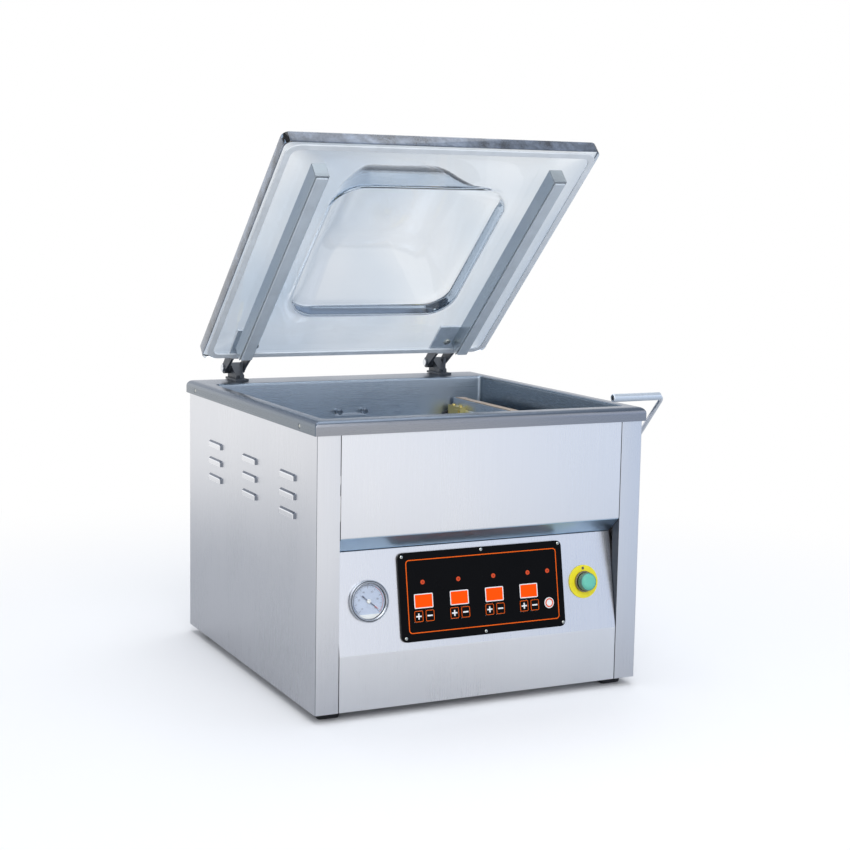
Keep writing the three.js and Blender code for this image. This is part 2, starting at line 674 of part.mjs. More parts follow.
function solenoidValve() {
  const [x, y, z] = [30, 460, CHAMBER_FLOOR - 60];
  const body = block([x - 20, x + 20], [y - 20, y + 20], [z - 26, z]);
  const coil = rod('z', 17, [z - 1, z + 44], [x, y], 20);
  const tails = rod('x', 9, [x - 34, x + 34], [y, z - 13], 16);
  const bracket = block([x - 15, x + 15], [y + 15, CABINET_DEPTH - SHEET - GAP], [z - 26, z - 22]);
  return join(body, coil, tails, bracket);
}

// Hose from the pump's inlet up to the suction port under the chamber floor.
function vacuumHose() {
  const start = new THREE.Vector3(-130, 420, FLOOR_TOP + 222.4);
  const end = new THREE.Vector3(SUCTION_X, SUCTION_Y, CHAMBER_FLOOR - 32.4);
  const rise = end.z - start.z;
  const path = new THREE.CubicBezierCurve3(
    start,
    start.clone().add(new THREE.Vector3(0, 0, rise * 0.75)),
    end.clone().add(new THREE.Vector3(0, 0, -rise * 0.75)),
    end,
  );
  const ring = new THREE.Shape();
  ring.absarc(0, 0, 12, 0, 2 * Math.PI);
  const tube = { steps: 20, curveSegments: 7, bevelEnabled: false, extrudePath: path };
  return toSolid(new THREE.ExtrudeGeometry(ring, tube));
}

function buildMachinery(group) {
  add(group, 'vacuum_pump', vacuumPump(), castIron);
  add(group, 'pump_motor', pumpMotor(), castIron);
  add(group, 'seal_transformer', sealTransformer(), castIron);
  add(group, 'solenoid_valve', solenoidValve(), brass);
  add(group, 'vacuum_hose', vacuumHose(), blackRubber);
}

// ---------- lid hinge ----------
const WEB_WIDTH = 14;
const EAR_THICKNESS = 4;
const EAR_RADIUS = 9;
const EAR_INSIDE = HUB_WIDTH / 2 + 0.4;

// Foot plate on the rim, a web that leans back to the hub, and an upright guide rod in front of it.
function hingePost(x) {
  const footTop = RIM_TOP + 4;
  const base = block([x - 11, x + 11], [POST_FRONT, PIVOT_Y + EAR_RADIUS], [RIM_TOP + GAP, footTop]);
  const web = profileX(
    [
      [POST_FRONT + 11, footTop - 1],
      [PIVOT_Y + EAR_RADIUS, footTop - 1],
      [PIVOT_Y + EAR_RADIUS, PIVOT_Z],
      [PIVOT_Y - EAR_RADIUS * 0.7, PIVOT_Z + EAR_RADIUS * 0.7],
      [POST_FRONT + 11, footTop + 5],
    ],
    [x - WEB_WIDTH / 2, x + WEB_WIDTH / 2],
  );
  const hub = rod('x', EAR_RADIUS, [x - HUB_WIDTH / 2, x + HUB_WIDTH / 2], [PIVOT_Y, PIVOT_Z], 28);
  const guide = rod('z', 2.2, [footTop - 1, PIVOT_Z + 13], [x, POST_FRONT + 6], 16);
  const bore = rod('x', PIN_HOLE_RADIUS, [x - 30, x + 30], [PIVOT_Y, PIVOT_Z], 28);
  return cut(join(base, web, hub, guide), bore);
}

function hingePin(x) {
  const end = EAR_INSIDE + EAR_THICKNESS + 0.4;
  const profile = [
    [0, -end - 3], [6, -end - 3], [6, -end], [PIN_RADIUS, -end], [PIN_RADIUS, end],
    [5.4, end], [5.4, end + 1.6], [PIN_RADIUS, end + 1.6], [PIN_RADIUS, end + 3], [0, end + 3],
  ];
  return turned('x', profile, [x, PIVOT_Y, PIVOT_Z], 20);
}

function buildHingePosts(group) {
  for (const [label, side] of SIDES) {
    add(group, `hinge_post_${label}`, hingePost(side * HINGE_X), castIron);
    add(group, `hinge_pin_${label}`, hingePin(side * HINGE_X), chrome);
  }
}

// ---------- lid, drawn closed about its pivot axis ----------
const UNDERSIDE = RIM_TOP + LID_SEAT - PIVOT_Z;
const LID_TOP = UNDERSIDE + LID_THICKNESS;
const LID_BACK = LID_LENGTH - PIVOT_Y;
const LID_MIDDLE = LID_BACK - LID_LENGTH / 2;
// The dome blown up from the plate: a tall box with leaning walls, a flat top and round shoulders.
const DOME = {
  width: 292, length: 300, corner: 46, back: 107, height: 108, lean: 62, shoulder: 27, wall: 5,
};

// Insets and heights up one face of the dome, from its foot to the flat top.
function domeProfile(grow, foot, top) {
  const rise = DOME.height - DOME.wall;
  const insetAt = (z) => (DOME.lean * (z - UNDERSIDE)) / rise - grow;
  const corner = new THREE.Vector2(insetAt(top), top);
  const start = new THREE.Vector2(insetAt(top - DOME.shoulder), top - DOME.shoulder);
  const end = new THREE.Vector2(corner.x + DOME.shoulder, top);
  const round = new THREE.QuadraticBezierCurve(start, corner, end).getPoints(6);
  return [new THREE.Vector2(insetAt(foot), foot), ...round];
}

function lidAcrylic() {
  const plate = loft(
    [
      { width: LID_WIDTH - 2, height: LID_LENGTH - 2, radius: LID_CORNER - 1, z: UNDERSIDE },
      { width: LID_WIDTH, height: LID_LENGTH, radius: LID_CORNER, z: UNDERSIDE + 1 },
      { width: LID_WIDTH, height: LID_LENGTH, radius: LID_CORNER, z: LID_TOP - 1 },
      { width: LID_WIDTH - 2, height: LID_LENGTH - 2, radius: LID_CORNER - 1, z: LID_TOP },
    ],
    [0, LID_MIDDLE],
  );
  const skin = (profile) => {
    const rings = profile.map(({ x: inset, y: z }) => ({
      width: DOME.width - 2 * inset,
      height: DOME.length - 2 * inset,
      radius: DOME.corner - inset * 0.15,
      z,
    }));
    return loft(rings, [0, LID_BACK - DOME.back - DOME.length / 2], 7);
  };
  const top = UNDERSIDE + DOME.height;
  const outside = skin(domeProfile(DOME.wall * 1.18, LID_TOP - 4, top));
  const inside = skin(domeProfile(0, UNDERSIDE - 1, top - DOME.wall));
  return cut(join(plate, outside), inside);
}

function lidGasket() {
  const ring = (inset, radius, from, to) =>
    roundPlate(LID_WIDTH - 2 * inset, LID_LENGTH - 2 * inset, radius, [from, to], [0, LID_MIDDLE], 5);
  const bottom = UNDERSIDE - LID_SEAT + GAP;
  return cut(ring(4, 22, bottom, UNDERSIDE - GAP), ring(14, 14, bottom - 1, UNDERSIDE + 1));
}

function buildLidBars(lid) {
  const span = [BAR_FRONT - PIVOT_Y, BAR_BACK - PIVOT_Y];
  const top = UNDERSIDE - GAP;
  const bottom = top - BAR_HEIGHT;
  for (const [label, side] of SIDES) {
    const x = side * BAR_X;
    const half = BAR_WIDTH / 2;
    const stripHalf = STRIP_WIDTH / 2;
    const grooveHalf = stripHalf + GAP;
    const grooveAcross = [x - grooveHalf, x + grooveHalf];
    const groove = block(grooveAcross, [span[0] - 1, span[1] + 1], [bottom - 1, bottom + 1.6]);
    const bar = block([x - half, x + half], span, [bottom, top]);
    add(lid, `lid_bar_${label}`, cut(bar, groove), aluminium);
    const stripAcross = [x - stripHalf, x + stripHalf];
    const strip = block(stripAcross, [span[0] + 2, span[1] - 2], [bottom - 2.6, bottom + 1.2]);
    add(lid, `silicone_strip_${label}`, strip, greyRubber);
  }
}

// Plate bolted on the lid's outer face; its tab turns down behind the lid and carries two ears
// that reach back to the pivot pin.
// The right plate is the wider one.
const BRACKET_ACROSS = { left: [-207, -168], right: [155, 207] };
const BRACKET_LENGTH = 60;

function hingeBracket(label, side) {
  const x = side * HINGE_X;
  const plateTop = LID_TOP + GAP + EAR_THICKNESS;
  const end = LID_BACK + 5;
  const tabBottom = LID_TOP - 18;
  const reach = EAR_INSIDE + EAR_THICKNESS;
  const plate = block(BRACKET_ACROSS[label], [LID_BACK - BRACKET_LENGTH, end], [LID_TOP + GAP, plateTop]);
  const tab = block([x - reach, x + reach], [LID_BACK + 1, end], [tabBottom, plateTop]);
  const ears = [-1, 1].map((way) => {
    const near = x + way * EAR_INSIDE;
    const range = way > 0 ? [near, near + EAR_THICKNESS] : [near - EAR_THICKNESS, near];
    const web = profileX(
      [
        [end - 1, plateTop],
        [end - 1, tabBottom],
        [-EAR_RADIUS * 0.5, -EAR_RADIUS * 0.86],
        [EAR_RADIUS * 0.5, EAR_RADIUS * 0.86],
      ],
      range,
    );
    return join(web, rod('x', EAR_RADIUS, range, [0, 0], 28));
  });
  const bores = rod('x', PIN_HOLE_RADIUS, [x - 30, x + 30], [0, 0], 28);
  const bolts = [-38, -14].map((y) =>
    rod('z', 6.5, [plateTop - 1, plateTop + 4], [x, LID_BACK + y], 6));
  return cut(join(plate, tab, ...ears, ...bolts), bores);
}

function buildLid(machine) {
  const lid = new THREE.Group();
  lid.position.set(0, PIVOT_Y, PIVOT_Z);
  lid.rotation.x = -THREE.MathUtils.degToRad(LID_OPEN_ANGLE);
  add(lid, 'lid_acrylic', lidAcrylic(), clearAcrylic);
  add(lid, 'lid_gasket', lidGasket(), whiteRubber);
  buildLidBars(lid);
  for (const [label, side] of SIDES) add(lid, `hinge_bracket_${label}`, hingeBracket(label, side), castIron);
  machine.add(lid);
}

// ---------- press lever on the right side ----------
// A bent round rod: up from the flattened eye at the pivot, then through an elbow into the grip.
function leverRod(reach, gripEnd) {
  const path = new THREE.CurvePath();
  const elbow = new THREE.Vector3(LEVER_X, reach, 0);
  const before = new THREE.Vector3(LEVER_X, reach - ELBOW_REACH, 0);
  const after = new THREE.Vector3(LEVER_X - ELBOW_REACH, reach, 0);
  path.add(new THREE.LineCurve3(new THREE.Vector3(LEVER_X, EYE_SIZE - 1, 0), before));
  path.add(new THREE.QuadraticBezierCurve3(before, elbow, after));
  path.add(new THREE.LineCurve3(after, new THREE.Vector3(gripEnd - 40, reach, 0)));
  const section = new THREE.Shape();
  section.absarc(0, 0, ROD_RADIUS, 0, 2 * Math.PI);
  const bent = { steps: 26, curveSegments: 6, bevelEnabled: false, extrudePath: path };
  return toSolid(new THREE.ExtrudeGeometry(section, bent));
}

function buildLever(machine) {
  const pivotZ = RIM_TOP - LEVER_PIVOT_BELOW_RIM;
  const gripZ = RIM_TOP + GRIP_ABOVE_RIM;
  const eyeFrom = LEVER_X - 2.5;
  const eyeTo = LEVER_X + 2.5;
  const wall = HALF_WIDTH + GAP;
  const boss = [
    [0, wall], [13, wall], [13, HALF_WIDTH + 4], [9, HALF_WIDTH + 4], [9, eyeFrom - GAP],
    [PIN_RADIUS, eyeFrom - GAP], [PIN_RADIUS, eyeTo + GAP],
    [7.5, eyeTo + GAP], [7.5, eyeTo + 3.3], [0, eyeTo + 3.3],
  ];
  add(machine, 'lever_pivot_boss', turned('x', boss, [0, LEVER_PIVOT_Y, pivotZ], 24), chrome);

  const reach = Math.hypot(GRIP_Y - LEVER_PIVOT_Y, gripZ - pivotZ);
  const lean = Math.atan2(gripZ - pivotZ, GRIP_Y - LEVER_PIVOT_Y);
  const gripEnd = LEVER_X - ELBOW_REACH;
  const lever = new THREE.Group();
  lever.position.set(0, LEVER_PIVOT_Y, pivotZ);
  lever.rotation.x = lean;
  const eye = rod('x', EYE_SIZE, [eyeFrom, eyeTo], [0, 0], 28);
  const pinHole = rod('x', PIN_HOLE_RADIUS, [eyeFrom - 5, eyeTo + 5], [0, 0], 24);
  add(lever, 'lever_arm', cut(join(leverRod(reach, gripEnd), eye), pinHole), chrome);
  const bore = ROD_RADIUS + GAP;
  const grip = sleeve('x', bore, GRIP_RADIUS, [gripEnd - GRIP_LENGTH, gripEnd], [0, reach, 0], 24);
  add(lever, 'lever_grip', grip, aluminium);
  machine.add(lever);
}

// ---------- the whole machine ----------
const machine = new THREE.Group();
buildCabinet(machine);
buildControls(machine);
buildChamber(machine);
buildMachinery(machine);
buildHingePosts(machine);
buildLid(machine);
buildLever(machine);

const part = new THREE.Group();
part.add(machine);
part.updateMatrixWorld(true);
const bounds = new THREE.Box3().setFromObject(part, true);
const middle = bounds.getCenter(new THREE.Vector3());
machine.position.set(-middle.x, -middle.y, -bounds.min.z);

export default part;
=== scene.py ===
import json
import math

import bmesh
import bpy
from mathutils import Matrix, Vector


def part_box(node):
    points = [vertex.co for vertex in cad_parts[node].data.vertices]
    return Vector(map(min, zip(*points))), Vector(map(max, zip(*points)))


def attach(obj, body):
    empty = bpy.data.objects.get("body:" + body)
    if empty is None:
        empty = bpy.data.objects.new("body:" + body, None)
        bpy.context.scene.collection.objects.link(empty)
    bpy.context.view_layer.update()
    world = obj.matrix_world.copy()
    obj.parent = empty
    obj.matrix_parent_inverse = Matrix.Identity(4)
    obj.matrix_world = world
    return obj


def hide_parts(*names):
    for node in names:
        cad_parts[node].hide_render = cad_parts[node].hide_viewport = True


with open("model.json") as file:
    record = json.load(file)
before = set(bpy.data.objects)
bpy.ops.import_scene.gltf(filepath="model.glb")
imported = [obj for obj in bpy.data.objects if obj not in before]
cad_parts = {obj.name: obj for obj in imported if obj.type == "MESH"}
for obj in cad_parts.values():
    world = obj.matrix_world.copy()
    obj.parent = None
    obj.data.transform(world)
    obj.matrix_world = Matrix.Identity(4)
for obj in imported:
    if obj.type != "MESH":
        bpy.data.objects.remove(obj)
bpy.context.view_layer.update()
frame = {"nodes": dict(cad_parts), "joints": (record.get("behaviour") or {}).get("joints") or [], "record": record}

MM = 0.001
NODES = frame["nodes"]
JOINTS = {joint["name"]: joint for joint in frame["joints"]}
BODIES = frame["record"]["behaviour"]["bodies"]
BODY_OF = {node: body for body, members in BODIES.items() for node in members}
scene = bpy.context.scene

# ---------- sizes of the machine, in millimetres ----------
# Cabinet: x from its middle plane, y back from its front, z up from the ground.
BASE = 12
RIM_BOTTOM = 402
RIM_TOP = 422
CHAMBER_FLOOR = 342
CABINET_WIDTH = 520
CABINET_DEPTH = 555
HALF_WIDTH = CABINET_WIDTH / 2
RIM_OVERHANG = 4.6
RIM_BEND = 9
SHEET = 2
SHEET_TOP = RIM_BOTTOM - 0.3
COLUMN = 35
SEAM = 1.1
FRONT_EDGE = 257
FLANGE_TIP = (26.5, 234.6)
CHAMBER = {"width": 480, "length": 452, "middle": 252, "corner": 6}
FASCIA_SETBACK = 25.5
FASCIA_RISE = 142.5
FASCIA_FOOT = 91.7
LOUVRE_Y = (77.5, 234.2, 390.9)
LOUVRE_Z = (333.0, 306.3, 279.6)
LOUVRE = {"length": 58, "depth": 3.8, "top": 4.8, "low": -5.0, "ramp": 2.3, "skin": 1.1}
RIM_SCREWS = {"y": (54, 511), "z": 409}
SUCTION = (-45, 440)
SEAL_BAR_X = 193
TAPE_TOP = 388
NOZZLES = {"x": (-29, 17), "wall": 477.7, "z": RIM_TOP - 51}
LEVER = {"y": 57, "z": 362, "grip_y": -15, "grip_z": 439.5, "x": 284.5}
BAR = {"x": 195, "width": 22, "height": 25, "front": 42, "back": 474}
HINGE_X = 186
SIDES = (("left", -1), ("right", 1))

# Lid and dome: along the shut lid from the hinge axis, and up from it.
LID = {
    "width": 515, "length": 501, "corner": 12, "middle": -298.1,
    "back": -47.6, "low": -15.6, "high": 4.4,
}
DOME = {
    "width": 292, "length": 300, "corner": 46, "middle": -304.6, "top": 92.4,
    "lean": 62, "shoulder": 34, "crown": 1.5, "wall": 5, "lip": 4.5, "foot": 9,
}

# Control panel: x across, t up the slope from the fascia's foot, then out of its face.
GAUGE = (-175.6, 73.5)
DIAL_NUMBERS = ((0, 225), (20, 171), (40, 117), (60, 63), (80, 9), (100, -45))
NUMBER_RADIUS = 14.2
BUTTON = (173, 72.5)
STOP = (111.5, 46.5)
FUNCTIONS = ("vacuum", "gas", "seal", "cool")
DISPLAY_X = (-91.9, -35.2, 21.5, 78.2)
DISPLAY_T = 67
LAMP_X = (*DISPLAY_X, 111.2)
LAMP_T = 93.5
KEY_T = 45.6
KEY_STEP = 17.7
OVERLAY_TOP = 3.3
OVERLAY_SCREWS = (
    (-122.7, 130.9), (3.8, 132.8), (131.7, 132.3), (-122.1, 16.1), (4.8, 15), (133.3, 16.2),
)


# ---------- places ----------
def rigid(origin, tilt=0.0):
    return Matrix.Translation(origin) @ Matrix.Rotation(tilt, 4, "X")


def spot(x=0.0, y=0.0, z=0.0, rx=0.0, ry=0.0, rz=0.0):
    """A place inside a shape, in millimetres and degrees."""
    turn = Matrix.Rotation(math.radians(rz), 4, "Z")
    turn = turn @ Matrix.Rotation(math.radians(ry), 4, "Y")
    turn = turn @ Matrix.Rotation(math.radians(rx), 4, "X")
    return Matrix.Translation((x, y, z)) @ turn


panel_low, panel_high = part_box("front_upper_panel")
ORIGIN = Vector(((panel_low.x + panel_high.x) / 2, panel_low.y, 0))
lid_joint = JOINTS["lid_hinge"]
LID_PIVOT = Vector(lid_joint["pos_m"])
LID_ANGLE = math.radians(lid_joint["range_deg"][1])
FASCIA_TILT = math.atan2(FASCIA_RISE, FASCIA_SETBACK)
LEVER_LEAN = math.atan2(LEVER["grip_z"] - LEVER["z"], LEVER["grip_y"] - LEVER["y"])
LEVER_REACH = math.hypot(LEVER["grip_z"] - LEVER["z"], LEVER["grip_y"] - LEVER["y"])

ON_CABINET = rigid(ORIGIN)
ON_FASCIA = rigid(ORIGIN + Vector((0, 0, FASCIA_FOOT)) * MM, FASCIA_TILT)
ON_LID = rigid(LID_PIVOT, -LID_ANGLE)
ON_LEVER = rigid(ORIGIN + Vector((0, LEVER["y"], LEVER["z"])) * MM, LEVER_LEAN)


# ---------- shapes ----------
class Shape:
    """The faces of a piece. Each face has the number of one of the piece's materials."""

    def __init__(self, solid=None, at=None):
        self.points = []
        self.faces = []
        self.paint = []
        if solid:
            self.add(solid, at)

    def add(self, solid, at=None, paint=0):
        points, faces = solid
        first = len(self.points)
        self.points.extend((at @ Vector(p)) if at else Vector(p) for p in points)
        self.faces.extend(tuple(first + i for i in face) for face in faces)
        self.paint.extend([paint] * len(faces))


def slab(x, y, z):
    """A box between pairs of x, y and z."""
    points = [(a, b, c) for c in z for b in y for a in x]
    faces = [(0, 2, 3, 1), (4, 5, 7, 6), (0, 1, 5, 4), (2, 6, 7, 3), (0, 4, 6, 2), (1, 3, 7, 5)]
    return points, faces


def loft(rings, closed=False):
    """Skin through rings of equal point counts, capped at both ends unless it closes on itself."""
    count = len(rings[0])
    levels = len(rings)
    points = [p for ring in rings for p in ring]
    faces = []
    for level in range(levels if closed else levels - 1):
        near = level * count
        far = ((level + 1) % levels) * count
        for i in range(count):
            j = (i + 1) % count
            faces.append((near + i, near + j, far + j, far + i))
    if not closed:
        faces.append(tuple(reversed(range(count))))
        faces.append(tuple(range((levels - 1) * count, levels * count)))
    return points, faces


def prism(outline, low, high):
    """An outline in the XY plane, between two heights."""
    return loft([[(x, y, z) for x, y in outline] for z in (low, high)])


def prism_x(outline, low, high):
    """An outline in the YZ plane, run along x."""
    return loft([[(x, y, z) for y, z in outline] for x in (low, high)])


def round_rect(width, height, radius, steps=6):
    points = []
    for quarter, (sx, sy) in enumerate(((1, 1), (-1, 1), (-1, -1), (1, -1))):
        for i in range(steps + 1):
            angle = (quarter + i / steps) * math.pi / 2
            x = sx * (width / 2 - radius) + radius * math.cos(angle)
            y = sy * (height / 2 - radius) + radius * math.sin(angle)
            points.append((x, y))
    return points


def level_ring(width, length, radius, z, middle=0.0, steps=8):
    return [(x, y + middle, z) for x, y in round_rect(width, length, radius, steps)]


def frame_ring(width, height, radius, line, low, high):
    """A thin rounded frame, such as a printed border."""
    outside = round_rect(width, height, radius, 6)
    inside = round_rect(width - 2 * line, height - 2 * line, max(radius - line, 0.2), 6)
    rings = []
    for outline, z in ((outside, low), (outside, high), (inside, high), (inside, low)):
        rings.append([(x, y, z) for x, y in outline])
    return loft(rings, closed=True)


def lathe(profile, sides=64, closed=False):
    """A turned shape about z from (radius, height) points."""
    points = []
    rows = []
    for radius, z in profile:
        if radius < 1e-6:
            rows.append([len(points)])
            points.append((0, 0, z))
            continue
        rows.append(list(range(len(points), len(points) + sides)))
        for i in range(sides):
            angle = 2 * math.pi * i / sides
            points.append((radius * math.cos(angle), radius * math.sin(angle), z))
    faces = []
    for near, far in zip(rows, rows[1:] + (rows[:1] if closed else [])):
        for i in range(sides):
            j = (i + 1) % sides
            if len(near) == 1 and len(far) > 1:
                faces.append((near[0], far[i], far[j]))
            elif len(far) == 1 and len(near) > 1:
                faces.append((near[i], near[j], far[0]))
            elif len(near) > 1:
                faces.append((near[i], near[j], far[j], far[i]))
    return points, faces


def disc(radius, low, high, sides=48):
    return lathe([(0, low), (radius, low), (radius, high), (0, high)], sides)


def washer(inner, outer, low, high, sides=64):
    return lathe([(inner, low), (outer, low), (outer, high), (inner, high)], sides, closed=True)


def tube(path, radius, sides=20):
    """A round bar along a path of points."""
    path = [Vector(p) for p in path]
    rings = []
    side = None
    for i, here in enumerate(path):
        ahead = path[min(i + 1, len(path) - 1)]
        behind = path[max(i - 1, 0)]
        run = (ahead - behind).normalized()
        if side is None:
            side = run.orthogonal().normalized()
        side = (side - run * side.dot(run)).normalized()
        across = run.cross(side)
        ring = []
        for k in range(sides):
            angle = 2 * math.pi * k / sides
            ring.append(here + (side * math.cos(angle) + across * math.sin(angle)) * radius)
        rings.append(ring)
    return loft(rings)


def bend_path(corner, before, after, steps=10):
    """Points of a smooth bend from before to after round a corner."""
    points = []
    for i in range(steps + 1):
        t = i / steps
        a = Vector(before).lerp(Vector(corner), t)
        b = Vector(corner).lerp(Vector(after), t)
        points.append(a.lerp(b, t))
    return points


def arc(middle, radius, start, end, steps):
    """Points on a circle in a plane, from one angle in degrees to another."""
    points = []
    for i in range(steps + 1):
        angle = math.radians(start + (end - start) * i / steps)
        points.append((middle[0] + radius * math.cos(angle), middle[1] + radius * math.sin(angle)))
    return points


# ---------- pieces ----------
def outward(mesh):
    shell = bmesh.new()
    shell.from_mesh(mesh)
    bmesh.ops.recalc_face_normals(shell, faces=shell.faces)
    shell.to_mesh(mesh)
    shell.free()


def soften(obj, bevel, segments, angle):
    """Round the sharp edges, or only mark them where there is no bevel."""
    for polygon in obj.data.polygons:
        polygon.use_smooth = True
    if bevel:
        edge = obj.modifiers.new("edges", "BEVEL")
        edge.width = bevel * MM
        edge.segments = segments
        edge.limit_method = "ANGLE"
        edge.angle_limit = math.radians(angle)
        edge.harden_normals = True
    else:
        obj.data.set_sharp_from_angle(angle=math.radians(angle))


def shown_mesh(obj):
    """A new mesh of what an object shows, with its modifiers applied."""
    bpy.context.view_layer.update()
    shown = obj.evaluated_get(bpy.context.evaluated_depsgraph_get())
    return bpy.data.meshes.new_from_object(shown)


def piece(
    name, shape, place, materials, node=None, body="cabinet",
    bevel=0.0, segments=2, angle=30, cuts=None,
):
    """Make an object from a shape. It stands for a CAD node and rides on that node's body, or on
    the body given; cuts is a shape to take away from it first."""
    obj = bare_object(name, shape, place)
    for material in materials:
        obj.data.materials.append(material)
    for polygon, paint in zip(obj.data.polygons, shape.paint):
        polygon.material_index = paint
    if cuts:
        cutter = bare_object(name + "_cut", cuts, place)
        taking = obj.modifiers.new("cut", "BOOLEAN")
        taking.operation = "DIFFERENCE"
        taking.solver = "EXACT"
        taking.object = cutter
        made = shown_mesh(obj)
        obj.modifiers.clear()
        obj.data = made
        bpy.data.objects.remove(cutter)
    soften(obj, bevel, segments, angle)
    return settle(obj, node, body)


def repaint(obj, place, choose):
    """Give faces another material: choose(middle, normal) names its number, or None to leave it."""
    to_shape = place.inverted()
    for polygon in obj.data.polygons:
        number = choose(to_shape @ polygon.center / MM, polygon.normal)
        if number is not None:
            polygon.material_index = number


def bare_object(name, shape, place):
    return linked(name, [tuple(place @ (p * MM)) for p in shape.points], shape.faces)


def linked(name, points, faces):
    """An object in the scene with faces that all look outwards, its points in metres."""
    mesh = bpy.data.meshes.new(name)
    mesh.from_pydata(points, [], faces)
    outward(mesh)
    return added(name, mesh)


def added(name, data):
    """An object in the scene with this mesh, curve, lamp or camera as its data."""
    obj = bpy.data.objects.new(name, data)
    scene.collection.objects.link(obj)
    return obj


def settle(obj, node=None, body="cabinet"):
    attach(obj, BODY_OF[node] if node else body)
    if node:
        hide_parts(node)
    return obj


SAME_POINT = 2e-6
FLAT = math.radians(1.5)


def refined(node, name, material, bevel=0.5, segments=2, angle=32):
    """A copy of a CAD node with merged flats and rounded edges, that stands for the node."""
    solid = bmesh.new()
    solid.from_mesh(NODES[node].data)
    bmesh.ops.remove_doubles(solid, verts=solid.verts, dist=SAME_POINT)
    bmesh.ops.dissolve_limit(solid, angle_limit=FLAT, verts=solid.verts, edges=solid.edges)
    solid.verts.index_update()
    points = [tuple(v.co) for v in solid.verts]
    obj = linked(name, points, [[v.index for v in face.verts] for face in solid.faces])
    solid.free()
    obj.data.materials.append(material)
    soften(obj, bevel, segments, angle)
    return settle(obj, node)


# ---------- materials ----------
class Net:
    """A node tree, with short ways to add nodes and to set or feed their sockets."""

    def __init__(self, tree):
        self.tree = tree

    def feed(self, socket, value):
        """Give a socket a value, or link another node's output to it."""
        if isinstance(value, bpy.types.NodeSocket):
            self.tree.links.new(value, socket)
        else:
            socket.default_value = value

    def node(self, kind, sockets, result=0, **settings):
        """Add a node, set it up, and give back one of its outputs."""
        made = self.tree.nodes.new(kind)
        for key, value in settings.items():
            setattr(made, key, value)
        for key, value in sockets.items():
            self.feed(made.inputs[key], value)
        return made.outputs[result]

    def mix_shaders(self, share, first, last):
        return self.node("ShaderNodeMixShader", {0: share, 1: first, 2: last})

    def mix_colors(self, share, first, last, blend="MIX"):
        inputs = {"Factor": share, "A": first, "B": last}
        return self.node("ShaderNodeMix", inputs, "Result", data_type="RGBA", blend_type=blend)

    def smooth(self, source, start, end):
        """From 0 to 1 as the source goes from start to end."""
        inputs = {"Value": source, "From Min": start, "From Max": end}
        return self.node("ShaderNodeMapRange", inputs, interpolation_type="SMOOTHSTEP")

    def towards(self, direction, axis, start, end):
        """From 0 to 1 as a direction turns towards an axis."""
        inputs = {0: direction, 1: axis}
        aside = self.node("ShaderNodeVectorMath", inputs, "Value", operation="DOT_PRODUCT")
        return self.smooth(aside, start, end)

    def backdrop(self, direction):
        """What rays through the clear lid find behind it."""
        share = self.towards(direction, ACROSS_VIEW, *BACKDROP_TURN)
        return self.mix_colors(share, BACKDROP_LEFT, BACKDROP_RIGHT)

    def by_ray(self, seen, through, other):
        """One shader for the camera's own rays, one for rays through clear plates, one for the rest."""
        from_clear = self.node("ShaderNodeLightPath", {}, "Is Transmission Ray")
        from_camera = self.node("ShaderNodeLightPath", {}, "Is Camera Ray")
        return self.mix_shaders(from_camera, self.mix_shaders(from_clear, other, through), seen)


class Paint(Net):
    """A Principled material with helpers for procedural detail in the object's own directions."""

    def __init__(self, name, color, roughness, metallic=0.0, tilt=0.0, **sockets):
        self.material = bpy.data.materials.new(name)
        self.material.use_nodes = True
        super().__init__(self.material.node_tree)
        self.tilt = tilt
        self.color = (*color, 1.0)
        self.shader = self.tree.nodes["Principled BSDF"]
        self.output = self.tree.nodes["Material Output"]
        self.set(Base_Color=self.color, Roughness=roughness, Metallic=metallic, **sockets)

    def set(self, **sockets):
        """Set or feed sockets of the shader. An underscore stands for a blank in a socket's name."""
        for key, value in sockets.items():
            self.feed(self.shader.inputs[key.replace("_", " ")], value)

    def noise(self, scale, detail=3.0, rough=0.55):
        """Noise in cycles per metre: one scale, or one each along x, y and z of the tilted piece."""
        scales = (scale,) * 3 if isinstance(scale, (int, float)) else scale
        place = self.node("ShaderNodeTexCoord", {}, "Object")
        inputs = {"Vector": place, "Rotation": (self.tilt, 0, 0), "Scale": [1 / s for s in scales]}
        turned = self.node("ShaderNodeMapping", inputs, vector_type="TEXTURE")
        inputs = {"Vector": turned, "Scale": 1.0, "Detail": detail, "Roughness": rough}
        return self.node("ShaderNodeTexNoise", inputs, "Fac")

    def spread(self, source, low, high):
        """The middle of a noise stretched to lie between two values."""
        inputs = {"Value": source, "From Min": 0.3, "From Max": 0.7, "To Min": low, "To Max": high}
        return self.node("ShaderNodeMapRange", inputs)

    def vary_color(self, source, dark, light):
        """Base colour goes from a darker to a lighter tone with the noise. The dark may be a tint."""
        shade = dark if isinstance(dark, tuple) else (dark,) * 3
        low = (*[c * d for c, d in zip(self.color, shade)], 1)
        high = (*[min(c * light, 1) for c in self.color[:3]], 1)
        self.set(Base_Color=self.mix_colors(self.spread(source, 0, 1), low, high))

    def vary_roughness(self, source, low, high):
        self.set(Roughness=self.spread(source, low, high))

    def bump(self, source, strength, distance):
        inputs = {"Height": source, "Strength": strength, "Distance": distance * MM}
        self.set(Normal=self.node("ShaderNodeBump", inputs))


